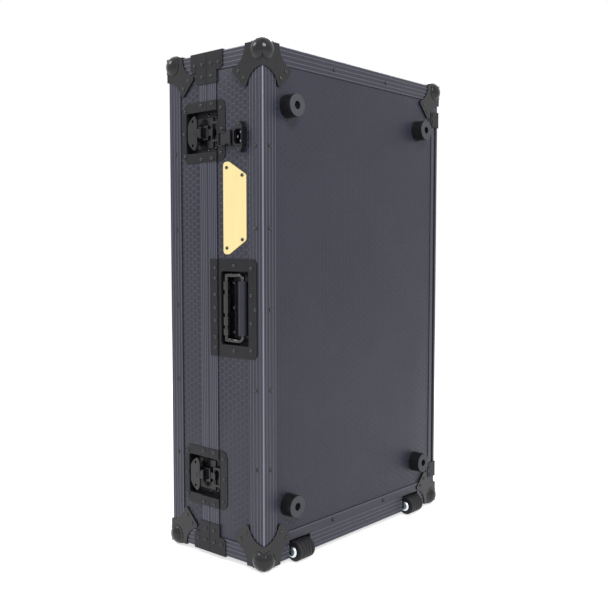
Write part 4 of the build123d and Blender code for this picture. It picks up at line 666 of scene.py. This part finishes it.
# Rows of rivets: how far the row is from the parting line, its face, and each one's
# place along it. The last row is on the floor of the dish, behind the fingers.
DISH_FLOOR = -16.4 * MM
HANDLE_ROWS = (
    (18, RIM_FACE, (-65.5, -48.5, -21.5, 0, 21.5, 48.5, 65.5)),
    (100.3, RIM_FACE, (-65.5, -22.5, 22.5, 65.5)),
    (59.7, PANEL_FACE, (-69, 69)),
    (44.5, DISH_FLOOR, (-41, 0, 41)),
)
HANDLE_RIVETS = [(across, up, rise) for across, rise, ups in HANDLE_ROWS for up in ups]
side_places = []
end_places = []
for across, up, rise in HANDLE_RIVETS:
    x = X_PART + across * MM
    side_places.append(((x, Y_HANDLE - rise, Z_MID + up * MM), (0, -1, 0)))
    end_places.append(((x, Y_MID + up * MM, Z_TOP + rise), (0, 0, 1)))
rivets("side_handle_rivets", "case", side_places)
rivets("end_handle_rivets", "case", end_places)

# The mains inlet is a moulded socket with three flat pins. Its splash cover is
# hinged beside it and stands folded back, as in the photograph.
INLET_TONES = (0.009, 0.009, 0.012), (0.016, 0.016, 0.022)
INLET_PLASTIC = powder_coat("inlet plastic", *INLET_TONES, 0.26, 0.36, 0.05, 0.4)
dress("inlet_body", INLET_PLASTIC, 0.4 * MM)
dress("inlet_cover", INLET_PLASTIC, 0.3 * MM)
PIN_METAL = zinc_plate("tinned pins", (0.16, 0.16, 0.17), (0.34, 0.34, 0.36))
dress("inlet_pins", PIN_METAL, 0.4 * MM)
INLET_X, INLET_Z = X_PART + 80.2 * MM, Z_TOP - 142.4 * MM
EAR_FACE = Y_HANDLE - 7 * MM
EAR_SCREW = 20 * MM
places = [((INLET_X, EAR_FACE, INLET_Z + up * EAR_SCREW), (0, -1, 0)) for up in (-1, 1)]
rivets("inlet_screws", "case", places, radius=2.2 * MM, height=1.0 * MM)

# The badge plate is bare: satin gold anodised sheet held by four black rivets.


def gold_anodising():
    """Pale satin gold with fine lines along the plate."""
    made, nodes, links, shader = finish("gold anodising", (0.93, 0.77, 0.38), 0.36, metallic=0.85)
    place = nodes.new("ShaderNodeTexCoord")
    stretch = nodes.new("ShaderNodeMapping")
    stretch.inputs["Scale"].default_value = (ACROSS_GRAIN, ACROSS_GRAIN, 12)
    links.new(place.outputs["Object"], stretch.inputs["Vector"])
    lines = noise(nodes, links, stretch.outputs["Vector"], 1.0, 4.0)
    gold = tones(nodes, links, lines, (0.90, 0.74, 0.35), (0.97, 0.82, 0.42), at=(0.3, 0.7))
    links.new(gold, shader.inputs["Base Color"])
    links.new(between(nodes, links, lines, 0.32, 0.42), shader.inputs["Roughness"])
    return made


dress("badge_plate", gold_anodising(), 0.3 * MM)
BADGE_RIVETS = ((44.5, -188.2), (79.7, -201.9), (79.7, -304.1), (44.5, -317.5))
BADGE_FACE = Y_HANDLE + 0.6 * MM
places = []
for across, up in BADGE_RIVETS:
    places.append(((X_PART + across * MM, BADGE_FACE, Z_TOP + up * MM), (0, -1, 0)))
rivets("badge_rivets", "case", places, radius=3.0 * MM)

# The linings are pads of open-cell foam glued into the base and the lid. They leave
# a bay for the controller, with two finger slots in each long side of the base.


def open_cell_foam():
    """Charcoal foam with a fine open cell structure, each pore darker towards its centre as painted
    shade.
    """
    made, nodes, links, shader = finish("open-cell foam", (0.035, 0.035, 0.038), 0.95, gloss=0.1)
    place = nodes.new("ShaderNodeTexCoord")
    cells = nodes.new("ShaderNodeTexVoronoi")
    cells.inputs["Scale"].default_value = 700.0
    links.new(place.outputs["Object"], cells.inputs["Vector"])
    depth = cells.outputs["Distance"]
    # Painted shade: each pore is darker towards its centre, where the bump sinks it
    painted_pore_shade = tones(nodes, links, depth, (0.018, 0.018, 0.020), (0.055, 0.055, 0.060), at=(0.0, 0.6))
    links.new(painted_pore_shade, shader.inputs["Base Color"])
    emboss(nodes, links, depth, shader, 0.5, 0.6 * MM)
    return made


FOAM = open_cell_foam()
FOAM_VOXEL = 5 * MM
for node, body in (("base_foam", "case"), ("lid_foam", "lid")):
    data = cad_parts[node].data.copy()
    data.materials.clear()
    data.materials.append(FOAM)
    lining = bpy.data.objects.new(f"{node}_lining", data)
    scene.collection.objects.link(lining)
    skin = lining.modifiers.new("cut foam", "REMESH")
    skin.mode = "VOXEL"
    skin.voxel_size = FOAM_VOXEL
    skin.use_smooth_shade = True
    soft = lining.modifiers.new("soft corners", "SMOOTH")
    soft.factor = 0.5
    soft.iterations = 2
    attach(lining, body)
    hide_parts(node)
